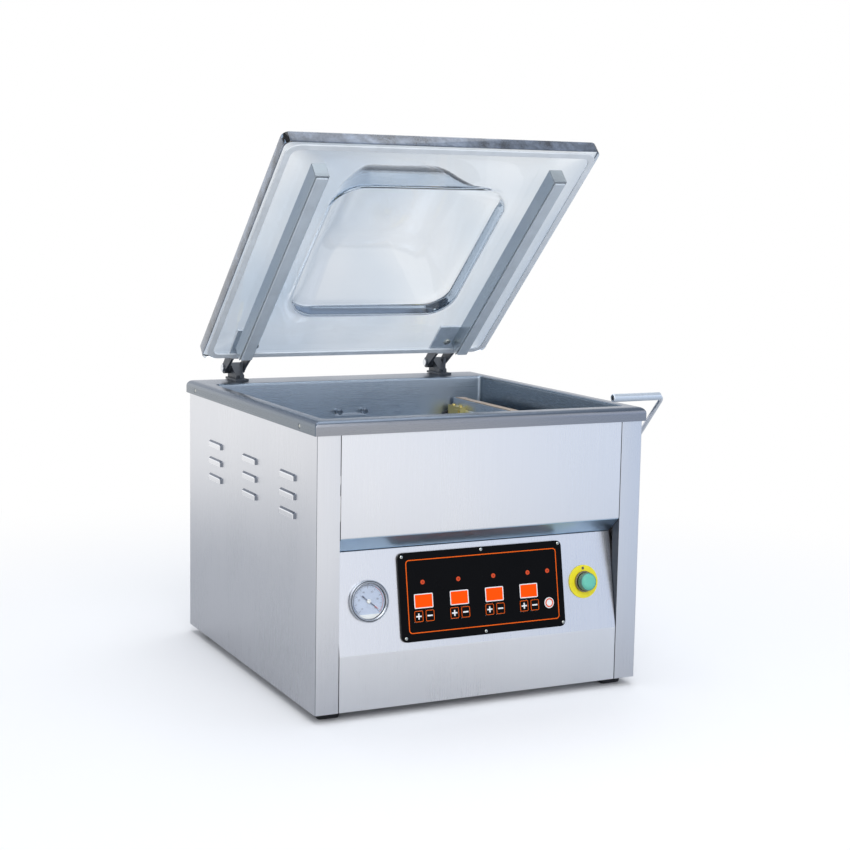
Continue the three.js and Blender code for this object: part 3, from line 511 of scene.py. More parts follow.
def brushed(name, color, roughness, grain="z", tilt=0.0, strength=0.06, contrast=0.02):
    """Metal ground along one direction: long fine scratches, faint smudges and cloudy tone."""
    paint = Paint(name, color, roughness, 1.0, tilt)
    across, along = 2600.0, 20.0
    scale = [across, across, across]
    scale["xyz".index(grain)] = along
    scratches = paint.noise(scale, 4.0, 0.7)
    bands = paint.noise([c * 0.35 for c in scale], 2.0, 0.5)
    smudge = paint.noise((5, 5, 4), 3.0, 0.6)
    paint.vary_color(bands, 1 - contrast, 1 + contrast)
    fine = paint.spread(scratches, -0.05, 0.05)
    broad = paint.spread(smudge, roughness - 0.04, roughness + 0.05)
    paint.set(Roughness=paint.node("ShaderNodeMath", {0: fine, 1: broad}, operation="ADD"))
    paint.bump(scratches, strength, 0.05)
    return paint.material


def moulded(name, color, roughness, texture=220.0, strength=0.12, **sockets):
    """Plastic or rubber with a fine moulded skin and slightly uneven gloss."""
    paint = Paint(name, color, roughness, **sockets)
    cloud = paint.noise(texture * 0.3, 3.0, 0.6)
    paint.vary_color(cloud, 0.93, 1.06)
    paint.vary_roughness(cloud, roughness - 0.06, roughness + 0.08)
    paint.bump(paint.noise(texture * 8, 2.0, 0.5), strength, 0.03)
    return paint.material


def polished(name, color, roughness=0.12, wear=0.10):
    """Plated metal with faint wear in its gloss."""
    paint = Paint(name, color, roughness, 1.0)
    cloud = paint.noise(160, 4.0, 0.65)
    paint.vary_roughness(cloud, roughness, roughness + wear)
    paint.vary_color(cloud, 0.94, 1.04)
    paint.bump(paint.noise(900, 2.0, 0.5), 0.04, 0.02)
    return paint.material


def cast(name, color, roughness, metallic):
    """Painted or blackened casting with a pebbled skin."""
    paint = Paint(name, color, roughness, metallic)
    cloud = paint.noise(60, 4.0, 0.6)
    paint.vary_color(cloud, 0.8, 1.2)
    paint.vary_roughness(cloud, roughness - 0.1, roughness + 0.12)
    paint.bump(paint.noise(1100, 3.0, 0.6), 0.35, 0.08)
    return paint.material


def glowing(name, color, strength):
    """A lit window: plastic with a slightly uneven glow."""
    paint = Paint(name, [0.25 * c for c in color], 0.6, Specular_IOR_Level=0.08)
    paint.vary_color(paint.noise(140, 2.0, 0.5), 0.94, 1.04)
    paint.set(Emission_Color=(*color, 1), Emission_Strength=strength)
    return paint.material


def clear(name, color, density=0.0, haze=0.98):
    """Polished acrylic or glass. Lamps shine through it, thick parts are tinted, clouds are faint."""
    paint = Paint(name, color, 0.0, IOR=ACRYLIC_IOR, Transmission_Weight=1.0)
    paint.vary_color(paint.noise(7, 1.5, 0.4), haze, 1.0)
    paint.bump(paint.noise(16, 2.0, 0.4), 0.10, 0.6)
    in_shadow = paint.node("ShaderNodeLightPath", {}, "Is Shadow Ray")
    pane = paint.node("ShaderNodeBsdfTransparent", {"Color": (0.93, 0.95, 0.97, 1)})
    surface = paint.mix_shaders(in_shadow, paint.shader.outputs["BSDF"], pane)
    paint.feed(paint.output.inputs["Surface"], surface)
    if density:
        murk = {"Color": (0.0, 0.225, 0.46, 1), "Density": density}
        paint.feed(paint.output.inputs["Volume"], paint.node("ShaderNodeVolumeAbsorption", murk))
    return paint.material


def sawn_edge(name, color):
    """The polished edge of a thick clear sheet, with painted reflections: light and dark grey-blue streaks in its
    colour.
    """
    paint = Paint(name, color, 0.10, IOR=ACRYLIC_IOR, Transmission_Weight=0.35, Coat_Weight=0.6)
    paint.vary_color(paint.noise(34, 5.0, 0.7), 0.25, 2.5)
    paint.bump(paint.noise(60, 2.0, 0.5), 0.08, 0.2)
    return paint.material


ACRYLIC_IOR = 1.49
SMOOTH_GRAIN = {"strength": 0.045, "contrast": 0.012}

STEEL = brushed("steel_upright_grain", (0.80, 0.81, 0.845), 0.30, "z", **SMOOTH_GRAIN)
STEEL_SLOPE = brushed("steel_slope_grain", (0.80, 0.81, 0.845), 0.30, "y", FASCIA_TILT, **SMOOTH_GRAIN)
# Painted light: the front sheet and the fascia's upright apron get lighter copies of the same steel.
STEEL_FRONT_PAINTED_LIGHT = brushed("steel_front_painted_light", (0.875, 0.885, 0.92), 0.30, "z", **SMOOTH_GRAIN)
STEEL_APRON_PAINTED_LIGHT = brushed("steel_apron_painted_light", (0.955, 0.965, 0.99), 0.32, "z", **SMOOTH_GRAIN)
# Painted reflection: a blue tint on the down-facing flange stands in for what it mirrors.
STEEL_FLANGE_PAINTED_REFLECTION = brushed("steel_flange_painted_reflection", (0.61, 0.80, 1.0), 0.32, "x")
# Painted light and shade on the louvres: a lighter copy of the steel on the outward face, dark steel on the bend
# and ends.
LOUVRE_FACE_PAINTED_LIGHT = brushed("louvre_face_painted_light", (0.88, 0.89, 0.92), 0.24, "y")
LOUVRE_BEND_PAINTED_SHADE = brushed("louvre_bend_painted_shade", (0.20, 0.22, 0.26), 0.22, "y")
# Painted shade: the chamber and rim are the cabinet's steel painted much darker, with separate tones for the
# chamber's side walls and for the rim's sides and front.
CHAMBER_PAINTED_SHADE = brushed("steel_chamber_painted_shade", (0.39, 0.45, 0.52), 0.28, "x")
CHAMBER_SIDE_PAINTED_SHADE = brushed("steel_chamber_side_painted_shade", (0.22, 0.265, 0.31), 0.28, "y")
RIM_PAINTED_SHADE = brushed("steel_rim_painted_shade", (0.168, 0.20, 0.25), 0.28, "x")
RIM_SIDE_PAINTED_SHADE = brushed("steel_rim_side_painted_shade", (0.215, 0.245, 0.28), 0.28, "y")
RIM_FRONT_PAINTED_SHADE = brushed("steel_rim_front_painted_shade", (0.33, 0.34, 0.37), 0.28, "x")
# Painted shade: near-black steel on the side sheet's front bend.
CREASE_PAINTED_SHADE = brushed("steel_crease_painted_shade", (0.17, 0.185, 0.22), 0.35, "z")
# Painted shadow: near-black on sheet faces that sit inside the seams.
SEAM_PAINTED_SHADOW = moulded("seam_painted_shadow", (0.05, 0.06, 0.08), 0.6)
ALUMINIUM = brushed("aluminium_extruded", (0.56, 0.61, 0.67), 0.30, "y")
ALUMINIUM_LID = brushed("aluminium_lid_bar", (0.54, 0.58, 0.61), 0.30, "y", -LID_ANGLE)
ALUMINIUM_END = brushed("aluminium_bar_end", (0.35, 0.38, 0.40), 0.34, "x")
ALUMINIUM_PALE = brushed("aluminium_pale", (0.70, 0.76, 0.82), 0.34, "x")
CHROME = polished("chrome_plate", (0.80, 0.82, 0.85), 0.08)
GAUGE_RING = polished("gauge_ring_plate", (0.50, 0.53, 0.58), 0.12)
NICKEL = polished("nickel_plate", (0.62, 0.64, 0.60), 0.22)
KNOB_STEEL = polished("knob_steel", (0.16, 0.19, 0.23), 0.25)
BRASS = polished("brass_fitting", (0.72, 0.58, 0.22), 0.28)
BRONZE = polished("bronze_collar", (0.34, 0.29, 0.20), 0.30)
CAST = cast("cast_dark", (0.06, 0.07, 0.085), 0.42, 0.3)
# Painted light: the hinge brackets are near white to make up for the shade under the lid.
BRACKET_PAINTED_LIGHT = cast("bracket_painted_light", (0.94, 0.95, 0.96), 0.45, 0.1)
CAST_GREY = cast("cast_grey", (0.22, 0.24, 0.27), 0.55, 0.4)
COPPER = polished("copper_winding", (0.66, 0.32, 0.16), 0.35)
RUBBER = moulded("rubber_black", (0.018, 0.019, 0.022), 0.6, 260, 0.3)
SILICONE = moulded("silicone_white", (0.82, 0.84, 0.85), 0.45, 120, 0.1)
SILICONE_GREY = moulded("silicone_grey", (0.54, 0.60, 0.66), 0.45, 120, 0.1)
GASKET = moulded("silicone_gasket", (0.74, 0.78, 0.82), 0.40, 120, 0.1)
SILICONE_TAN = moulded("silicone_tan", (0.55, 0.45, 0.38), 0.5, 120, 0.1)
PTFE = moulded("ptfe_cloth", (0.46, 0.36, 0.27), 0.42, 500, 0.4)
PANEL_BLACK = moulded("panel_black", (0.0022, 0.0023, 0.003), 0.30, 90, 0.03, Specular_IOR_Level=0.07)
BLACK = moulded("plastic_black", (0.02, 0.02, 0.022), 0.42, 200, 0.15)
WHITE = moulded("plastic_white", (0.86, 0.86, 0.84), 0.38, 160, 0.06)
INK_WHITE = moulded("ink_white", (0.88, 0.88, 0.88), 0.5, 160, 0.05)
INK_ORANGE = moulded("ink_orange", (0.92, 0.13, 0.006), 0.5, 160, 0.05, Specular_IOR_Level=0.1)
INK_DARK = moulded("ink_dark", (0.10, 0.12, 0.20), 0.5, 160, 0.05)
INK_RED = moulded("ink_red", (0.62, 0.10, 0.08), 0.5, 160, 0.05)
DIAL_FACE = moulded("dial_face", (0.50, 0.57, 0.72), 0.5, 90, 0.05)
STOP_RED = moulded("stop_red", (0.80, 0.09, 0.02), 0.35, 160, 0.05)
YELLOW = moulded("legend_yellow_plate", (0.92, 0.80, 0.015), 0.42, 160, 0.08)
GREEN_FACE = moulded("button_face", (0.14, 0.55, 0.42), 0.30, 160, 0.06)
# Painted shade: the button cap's side is a darker copy of its green face.
GREEN_SIDE_PAINTED_SHADE = moulded("button_side_painted_shade", (0.10, 0.22, 0.19), 0.32, 160, 0.06)
BOARD = moulded("circuit_board", (0.03, 0.14, 0.06), 0.45, 120, 0.1)
DISPLAY = glowing("display_orange", (1.0, 0.075, 0.0), 0.95)
LED = glowing("led_orange", (0.95, 0.12, 0.04), 0.45)
LED_CORE = glowing("led_core", (0.80, 0.08, 0.05), 0.25)
ACRYLIC = clear("acrylic_clear", (0.94, 0.96, 0.98), 4.5, (0.82, 0.87, 0.92))
ACRYLIC_EDGE_PAINTED_REFLECTION = sawn_edge("acrylic_edge_painted_reflection", (0.105, 0.13, 0.175))
LENS = clear("gauge_lens", (0.99, 1.0, 1.0))


# ---------- chamber tub and rim ----------
def build_tub():
    rim_w = CABINET_WIDTH + 2 * RIM_OVERHANG
    rim_l = CABINET_DEPTH + 2 * RIM_OVERHANG
    rim_mid = CABINET_DEPTH / 2
    wide, long, mid, corner = (CHAMBER[k] for k in ("width", "length", "middle", "corner"))
    rings = []

    def chamber_ring(grow, z):
        rings.append(level_ring(wide + grow, long + grow, max(corner + grow / 2, 1), z, mid))

    def rim_ring(inset, z, radius):
        rings.append(level_ring(rim_w - 2 * inset, rim_l - 2 * inset, radius, z, rim_mid))

    fillet, bend = 7, 4
    outer_corner, inner_corner = 2.5, 1.5
    for x, z in arc((-fillet, fillet), fillet, 270, 360, 6):
        chamber_ring(2 * x, CHAMBER_FLOOR + z)
    for x, z in arc((bend, -bend), bend, 180, 90, 6):
        chamber_ring(2 * x, RIM_TOP + z)
    for x, z in arc((-RIM_BEND, -RIM_BEND), RIM_BEND, 90, 0, 8):
        rim_ring(-x, RIM_TOP + z, outer_corner - 0.1 * x)
    rim_ring(0, RIM_BOTTOM, outer_corner)
    rim_ring(SHEET, RIM_BOTTOM, inner_corner)
    for x, z in arc((-RIM_BEND, -RIM_BEND), RIM_BEND - SHEET, 0, 90, 4):
        rim_ring(-x, RIM_TOP + z, inner_corner)
    chamber_ring(2 * bend + SHEET, RIM_TOP - SHEET)
    chamber_ring(2 * SHEET, RIM_TOP - SHEET - 4)
    chamber_ring(2 * SHEET, CHAMBER_FLOOR + 8)
    chamber_ring(2 * SHEET - 14, CHAMBER_FLOOR - SHEET)
    tub = Shape(loft(rings))
    holes = Shape(disc(15.2, -10, 10), spot(*SUCTION, CHAMBER_FLOOR))
    screws = Shape()
    for y in RIM_SCREWS["y"]:
        place = spot(-HALF_WIDTH - RIM_OVERHANG, y, RIM_SCREWS["z"], ry=-90)
        holes.add(disc(3.5, -1.0, 3), place)
        screws.add(lathe([(0, -1.6), (3.2, -1.6), (3.2, -0.7), (2.4, -0.25), (0, -0.1)], 32), place)
    paints = [CHAMBER_PAINTED_SHADE, CHAMBER_SIDE_PAINTED_SHADE, RIM_PAINTED_SHADE, RIM_SIDE_PAINTED_SHADE, RIM_FRONT_PAINTED_SHADE]
    pressed = piece(
        "chamber_tub_pressed", tub, ON_CABINET, paints,
        "chamber_tub", angle=40, cuts=holes,
    )

    # Painted shade by facing: chamber side walls, rim front and rim sides each get their own shaded copy of the
    # steel.
    def wall(where, normal):
        inside = abs(where.x) < wide / 2 + 2 and abs(where.y - mid) < long / 2 + 2
        if inside:
            return paints.index(CHAMBER_SIDE_PAINTED_SHADE) if abs(normal.x) > 0.7 else None
        if normal.y < -0.8:
            return paints.index(RIM_FRONT_PAINTED_SHADE)
        return paints.index(RIM_SIDE_PAINTED_SHADE if abs(normal.x) > 0.8 else RIM_PAINTED_SHADE)

    repaint(pressed, ON_CABINET, wall)
    piece("rim_screws", screws, ON_CABINET, [NICKEL], bevel=0.1)


# ---------- cabinet sheets ----------
def side_section(side):
    """The folded sheet's outline seen from above, with rounded bends at the outer corners."""
    out = HALF_WIDTH
    inner = out - COLUMN
    inside = out - SHEET
    back = CABINET_DEPTH
    bend = 2.6
    outline = [(inner, 0)]
    outline += arc((out - bend, bend), bend, -90, 0, 5)
    outline += arc((out - bend, back - bend), bend, 0, 90, 5)
    outline += [(out - 20, back), (out - 20, back - SHEET), (inside, back - SHEET), (inside, SHEET)]
    outline += [(inner + SHEET, SHEET), (inner + SHEET, 18), (inner, 18)]
    return [(side * x, y) for x, y in outline]


def louvre_hood(side, y0, z0):
    """The pressed skin of one louvre: round at its top and ends, open at its lower lip."""
    across, down = 44, 14
    length, top, low, ramp = (LOUVRE[k] for k in ("length", "top", "low", "ramp"))
    outer, inner = [], []
    for j in range(down + 1):
        z = top + (low - top) * j / down
        for i in range(across + 1):
            u = length * i / across
            from_top = max(0.0, 1 - (top - z) / (ramp + 0.8))
            from_end = max(0.0, 1 - min(u, length - u) / ramp)
            share = max(0.0, 1 - math.hypot(from_top, from_end))
            x = HALF_WIDTH + LOUVRE["depth"] * math.sin(share * math.pi / 2)
            outer.append((side * x, y0 + u, z0 + z))
            inner.append((side * (x - LOUVRE["skin"]), y0 + u, z0 + z + 0.2 * share))
    layer = len(outer)
    faces = []
    row = across + 1
    for j in range(down):
        for i in range(across):
            a = j * row + i
            faces.append((a, a + 1, a + 1 + row, a + row))
            faces.append((layer + a + row, layer + a + 1 + row, layer + a + 1, layer + a))
    border = list(range(row))
    border += [j * row + across for j in range(1, down + 1)]
    border += [down * row + i for i in range(across - 1, -1, -1)]
    border += [j * row for j in range(down - 1, 0, -1)]
    for a, b in zip(border, border[1:] + border[:1]):
        faces.append((b, a, layer + a, layer + b))
    return outer + inner, faces


def build_sides():
    for label, side in SIDES:
        sheet = Shape(prism(side_section(side), BASE, SHEET_TOP))
        slots = Shape()
        hoods = Shape()
        for y in LOUVRE_Y:
            for z in LOUVRE_Z:
                span = sorted((side * (HALF_WIDTH - 5), side * (HALF_WIDTH + 5)))
                slots.add(slab(span, (y + 2, y + LOUVRE["length"] - 2), (z - 4.9, z + 1.5)))
                hoods.add(louvre_hood(side, y, z))
        folded = piece(
            f"side_sheet_{label}", sheet, ON_CABINET, [STEEL, CREASE_PAINTED_SHADE, SEAM_PAINTED_SHADOW],
            f"side_panel_{label}", bevel=0.25, cuts=slots,
        )

        # Index 1 is painted shade on the front bend, index 2 painted shadow on the column's inner return.
        def fold(where, normal):
            out = normal.x * side
            if where.y < 4 and out > 0.5 and normal.y < -0.5:
                return 1
            return 2 if where.y < 20 and out < -0.9 else None

        repaint(folded, ON_CABINET, fold)
        pressed = piece(
            f"louvres_{label}", hoods, ON_CABINET, [LOUVRE_FACE_PAINTED_LIGHT, LOUVRE_BEND_PAINTED_SHADE],
            angle=50,
        )
        # Faces turned away from straight out get the dark steel: painted shade.
        repaint(pressed, ON_CABINET, lambda where, normal: 1 if normal.x * side < 0.80 else None)


def build_front():
    width = HALF_WIDTH - COLUMN - SEAM
    tip_y, tip_z = FLANGE_TIP
    run = Vector((tip_y, tip_z - FRONT_EDGE)).normalized()
    bend = 2.2
    corner, before = Vector((0, FRONT_EDGE, 0)), Vector((0, FRONT_EDGE + bend, 0))
    after = Vector((run.x * bend, FRONT_EDGE + run.y * bend, 0))
    outline = [(0, SHEET_TOP)]
    outline += [(p.x, p.y) for p in bend_path(corner, before, after, 5)]
    outline += [(tip_y, tip_z), (tip_y, tip_z + SHEET), (SHEET, FRONT_EDGE + 1.2), (SHEET, SHEET_TOP)]
    upper = piece(
        "upper_front_sheet", Shape(prism_x(outline, -width, width)), ON_CABINET,
        [STEEL_FRONT_PAINTED_LIGHT, STEEL_FLANGE_PAINTED_REFLECTION, SEAM_PAINTED_SHADOW], "front_upper_panel", bevel=0.25,
    )

    # The down-facing flange takes the painted reflection tint, the sheet's cut ends the painted seam shadow.
    def flange_or_end(where, normal):
        if normal.z < -0.3 and normal.y < -0.3:
            return 1
        return 2 if abs(normal.x) > 0.9 else None

    repaint(upper, ON_CABINET, flange_or_end)
    fascia = refined("front_fascia", "fascia_sheet", STEEL_SLOPE, 0.5, 3, angle=8)
    fascia.data.materials.append(STEEL_APRON_PAINTED_LIGHT)
    # The apron's upright faces take the lighter copy of the steel: painted light.
    repaint(fascia, ON_CABINET, lambda where, normal: 1 if abs(normal.z) < 0.05 else None)


def build_back():
    refined("rear_panel", "rear_sheet", STEEL, 0.25, 1)
    refined("base_plate", "base_sheet", STEEL, 0.3, 1)
    refined("power_inlet", "inlet_socket", BLACK, 0.5)
    screws = Shape()
    for x in (-225, 225):
        for z in (40, 160, 280, 385):
            add_screw(screws, spot(x, CABINET_DEPTH, z, rx=-90), 3.4, 1.6)
    for x in (-200, -160):
        add_screw(screws, spot(x, CABINET_DEPTH + 2.3, BASE + 45, rx=-90), 2.4, 1.0)
    piece("rear_screws", screws, ON_CABINET, [NICKEL, BLACK], bevel=0.15)
    for corner in ("front_left", "front_right", "rear_left", "rear_right"):
        refined(f"foot_{corner}", f"rubber_foot_{corner}", RUBBER, 1.6, 3)


def add_screw(shape, place, radius, height):
    """A pan-head screw, its axis along z. Its cross recess is painted shade: two crossed slabs on the head in the
    second material, which is black wherever it is used.
    """
    shoulder = [(radius, -0.5), (radius, height * 0.45), (radius * 0.75, height * 0.85)]
    shape.add(lathe([(0, -0.5), *shoulder, (0, height)], 28), place)
    arm = radius * 0.55
    for turn in (0, 90):
        cross = slab((-arm, arm), (-radius * 0.12, radius * 0.12), (height * 0.9, height * 1.02))
        shape.add(cross, place @ spot(rz=turn + 20), 1)


# ---------- control panel ----------
def build_overlay():
    refined("control_overlay", "overlay_plate", PANEL_BLACK, 0.7, 3)
    top = OVERLAY_TOP
    border = Shape(frame_ring(244.5, 104, 5.5, 1.3, top - 0.3, top + 0.06), spot(5.2, 74))
    piece("overlay_border", border, ON_FASCIA, [INK_ORANGE])

    screws = Shape()
    for x, t in OVERLAY_SCREWS:
        add_screw(screws, spot(x, t, top), 2.2, 0.9)
    piece("overlay_screws", screws, ON_FASCIA, [NICKEL, BLACK], bevel=0.12)

    lamps = Shape()
    for x in LAMP_X:
        at = spot(x, LAMP_T, top)
        lamps.add(lathe([(0, -0.4), (3.3, -0.4), (3.3, 0.25), (2.7, 0.7), (0, 0.9)], 32), at)
        lamps.add(lathe([(0, 0.6), (1.5, 0.6), (1.3, 0.98), (0, 1.05)], 24), at, 1)
    piece("function_lamps", lamps, ON_FASCIA, [LED, LED_CORE])

    refined("display_module", "display_board", BOARD, 0.3, 1)
    for name, x in zip(FUNCTIONS, DISPLAY_X):
        window = Shape(prism(round_rect(27.0, 18.2, 1.0, 4), 0, 0.5), spot(x, DISPLAY_T, 2.9))
        window.add(frame_ring(29.6, 20.7, 1.6, 1.3, 0, 0.7), spot(x, DISPLAY_T, top - 0.35), 1)
        piece(f"display_window_{name}", window, ON_FASCIA, [DISPLAY, INK_WHITE], bevel=0.12)


def build_keys():
    for name, x in zip(FUNCTIONS, DISPLAY_X):
        for label, sign in (("plus", -1), ("minus", 1)):
            node = f"key_{name}_{label}"
            at = spot(x + sign * KEY_STEP / 2, KEY_T)
            rings = []
            for inset, z in ((0, 1.2), (0, 3.0), (0.15, 3.3), (0.5, 3.45), (1.2, 3.5)):
                rings.append(level_ring(14.2 - 2 * inset, 16.4 - 2 * inset, 2.2, z))
            cap = Shape(loft(rings), at)
            cap.add(frame_ring(13.4, 15.6, 2.0, 0.75, 3.2, 3.54), at, 1)
            cap.add(slab((-4.3, 4.3), (-1.0, 1.0), (3.3, 3.56)), at, 2)
            if label == "plus":
                cap.add(slab((-1.0, 1.0), (-4.3, 4.3), (3.3, 3.57)), at, 2)
            inks = [PANEL_BLACK, INK_ORANGE, INK_WHITE]
            piece(f"{node}_cap", cap, ON_FASCIA, inks, node)
    at = spot(*STOP)
    stop = Shape(lathe([(0, 1.2), (8.0, 1.2), (8.0, 3.2), (7.6, 3.6), (0, 3.6)], 48), at)
    stop.add(washer(4.6, 6.6, 3.4, 3.68), at, 1)
    stop.add(prism(round_rect(7.4, 7.4, 2.4, 5), 3.4, 3.7), at, 0)
    piece("key_stop_cap", stop, ON_FASCIA, [WHITE, STOP_RED], "key_stop", bevel=0.1)


def build_gauge():
    at = spot(*GAUGE)
    refined("gauge_case", "gauge_cup", BLACK, 0.4)
    ring = [(27.2, 0.3), (29.0, 0.3), (29.5, 1.0)]
    ring += arc((28.8, 5.2), 0.7, 0, 180, 6)
    ring += [(28.0, 4.9), (27.45, 4.9)]
    ring += arc((26.6, 5.5), 0.8, 0, 180, 6)
    ring += [(24.9, 5.0), (25.3, 4.7), (27.0, 4.45), (27.2, 4.0)]
    bezel = Shape(lathe(ring, 96, closed=True), at)
    # A thin black washer in the groove between the rings is painted shade.
    bezel.add(washer(27.5, 28.0, 4.8, 5.0), at, 1)
    piece(
        "gauge_rings", bezel, ON_FASCIA, [GAUGE_RING, BLACK], "gauge_bezel", angle=40,
    )

    dial = Shape(disc(24.8, -1.6, -0.6, 72), at)
    for step in range(41):
        angle = 225 - step * 270 / 40
        major = step % 5 == 0
        inner, wide = (17.6, 0.32) if major else (19.4, 0.16)
        tick = slab((inner, 21.6), (-wide, wide), (-0.75, -0.52))
        dial.add(tick, at @ spot(rz=angle), 1)
    steps, outer, inner = 24, 22.6, 21.9
    for first, last, ink in ((225, 60, 1), (58, -45, 2)):
        for i in range(steps):
            start = first + (last - first) * i / steps
            end = first + (last - first) * (i + 1) / steps
            band = arc((0, 0), outer, start, end, 2) + arc((0, 0), inner, end, start, 2)
            dial.add(prism(band, -0.75, -0.53), at, ink)
    dial.add(prism(arc((0, 0), 24.2, 228, 312, 18), -0.7, 0.6), at, 3)
    for x in (-11, 11):
        dial.add(disc(1.1, 0.4, 0.9, 20), at @ spot(x, -20.4), 4)
    piece(
        "gauge_face", dial, ON_FASCIA, [DIAL_FACE, INK_DARK, INK_RED, SILICONE, CHROME],
        "gauge_dial", bevel=0.05, segments=1,
    )
    for value, angle in DIAL_NUMBERS:
        dial_number(value, angle)

    glass = [(0, 2.5), (26.3, 2.5), (26.3, 3.9), (24, 4.3), (16, 4.8), (8, 5.1), (0, 5.2)]
    piece(
        "gauge_lens", Shape(lathe(glass, 96), at), ON_FASCIA, [LENS],
        "gauge_glass", angle=40,
    )
    turned = at @ spot(rz=-40)
    blade = [(-12, -1.2), (-12, 1.2), (-8, 0.75), (11, 0.6), (11, -0.6), (-8, -0.75)]
    hand = Shape(prism(blade, 0.4, 1.2), turned)
    hand.add(prism([(11, 0.6), (18, 0.25), (18, -0.25), (11, -0.6)], 0.4, 1.2), turned, 1)
    hand.add(lathe([(0, 0.1), (3.0, 0.1), (3.0, 1.3), (2.3, 1.8), (0, 1.8)], 40), turned, 2)
    piece(
        "gauge_hand", hand, ON_FASCIA, [INK_DARK, INK_RED, WHITE],
        "gauge_needle", bevel=0.08,
    )


def dial_number(value, angle):
    """A number on the dial, turned from a text curve into a mesh."""
    name = f"gauge_number_{value}"
    text = bpy.data.curves.new(name, "FONT")
    text.body = str(value)
    text.size = 3.4 * MM
    text.extrude = 0.03 * MM
    text.align_x = "CENTER"
    text.align_y = "CENTER"
    curve = added(name, text)
    mesh = shown_mesh(curve)
    bpy.data.objects.remove(curve)
    mesh.materials.clear()
    mesh.materials.append(INK_DARK)
    x = GAUGE[0] + NUMBER_RADIUS * math.cos(math.radians(angle))
    t = GAUGE[1] + NUMBER_RADIUS * math.sin(math.radians(angle))
    mesh.transform(ON_FASCIA @ Matrix.Translation(Vector((x, t, -0.55)) * MM))
    settle(added(name, mesh))


def build_button():
    at = spot(*BUTTON)
    plate = [(11.3, 0.3), (24.2, 0.3), (24.5, 0.6), (24.5, 1.5), (24.1, 1.8), (11.3, 1.8)]
    ring = Shape(lathe(plate, 96, closed=True), at)
    ring.add(washer(1.3, 2.3, 1.7, 1.95, 32), at @ spot(0, 19.8), 1)
    ring.add(disc(1.2, 1.7, 1.86, 24), at @ spot(0, 19.8), 2)
    paints = [YELLOW, BRONZE, BLACK]
    piece("button_plate", ring, ON_FASCIA, paints, "button_legend_ring")

    stem = [(0, -24), (10.7, -24), (10.7, 2.1)]
    lip = [(15.6, 2.1), (15.6, 5.4), (14.8, 6.6), (13.8, 6.6), (13.8, 3), (0, 3)]
    collar = Shape(lathe(stem + lip, 72), at)
    for i in range(36):
        collar.add(slab((15.2, 15.75), (-0.45, 0.45), (2.5, 5.2)), at @ spot(rz=i * 10))
    collar.add(slab((-14, 14), (-10, 10), (-52, -23)), at, 1)
    piece(
        "button_collar", collar, ON_FASCIA, [BRONZE, BLACK], "button_bezel", bevel=0.2,
    )
    skirt = [(0, 7.6), (13.0, 7.6), (13.3, 8.0), (13.3, 15.4), (12.9, 16.4), (12.2, 16.9), (0, 16.9)]
    cap = Shape(lathe(skirt, 72), at)
    face = [(0, 16.5), (12.2, 16.5), (12.2, 16.9), (10.2, 19.1), (9.6, 19.5), (5, 19.75), (0, 19.8)]
    cap.add(lathe(face, 72), at, 1)
    piece(
        "button_cap", cap, ON_FASCIA, [GREEN_SIDE_PAINTED_SHADE, GREEN_FACE], "power_button",
        bevel=0.25, angle=35,
    )


# ---------- inside the chamber ----------
def build_chamber_fittings():
    top = TAPE_TOP
    for label, side in SIDES:
        x = side * SEAL_BAR_X
        refined(f"seal_bar_{label}", f"seal_bar_body_{label}", ALUMINIUM, 0.7)
        tape = Shape(slab((x - 7, x + 7), (49, 467), (top - 0.8, top)))
        for y in (62, 454):
            tape.add(slab((x - 7.6, x + 7.6), (y - 6, y + 6), (top - 0.4, top + 0.5)), paint=1)
        piece(
            f"seal_tape_strip_{label}", tape, ON_CABINET, [PTFE, SILICONE_TAN],
            f"seal_tape_{label}", bevel=0.2,
        )
        refined(f"bar_lifter_{label}", f"bar_lifter_body_{label}", ALUMINIUM_PALE, 0.8)
        add_terminal(label, side)
    add_nozzles()
    add_port()


def add_terminal(label, side):
    """Brass terminal block with two screws and a wire at the rear end of a seal bar."""
    outer, inner, plate = (side * x for x in (184, 172, 170.5))
    terminal = Shape(slab(sorted((outer, inner)), (420, 466), (353, 376)))
    terminal.add(slab(sorted((inner, plate)), (426, 441), (358, 371)))
    for y in (430, 456):
        add_screw(terminal, spot((outer + inner) / 2, y, 376), 3.6, 2.6)
    piece(
        f"bar_terminal_{label}", terminal, ON_CABINET, [BRASS, BLACK],
        body=f"seal_bar_{label}", bevel=0.6,
    )
    start = Vector(((outer + inner) / 2, 466, 366))
    corner = start + Vector((-side * 2, 9, 0))
    end = corner + Vector((-side * 14, 0, -12))
    lead = Shape(tube(bend_path(corner, start, end, 14), 2.2, 16))
    piece(
        f"bar_lead_{label}", lead, ON_CABINET, [RUBBER],
        body=f"seal_bar_{label}",
    )


def add_nozzles():
    wall, z = NOZZLES["wall"], NOZZLES["z"]
    collar = [(0, 0), (5, 0), (5, 5.5), (3, 5.5), (3, 7)]
    knob = [(5, 7), (5.1, 13.2), (4.2, 14.6), (2.4, 15), (2.0, 14), (0, 14)]
    shape = Shape(slab((-34, 22), (wall - 5, wall), (z - 8, z - 4)))
    for x in NOZZLES["x"]:
        at = spot(x, wall, z, rx=90)
        shape.add(lathe(collar + knob, 48), at, 1)
        for i in range(14):
            shape.add(slab((4.85, 5.25), (-0.35, 0.35), (7.6, 12.6)), at @ spot(rz=i * 360 / 14), 1)
    piece(
        "nozzle_bar", shape, ON_CABINET, [CHROME, KNOB_STEEL], "gas_nozzle_bar", bevel=0.3,
    )


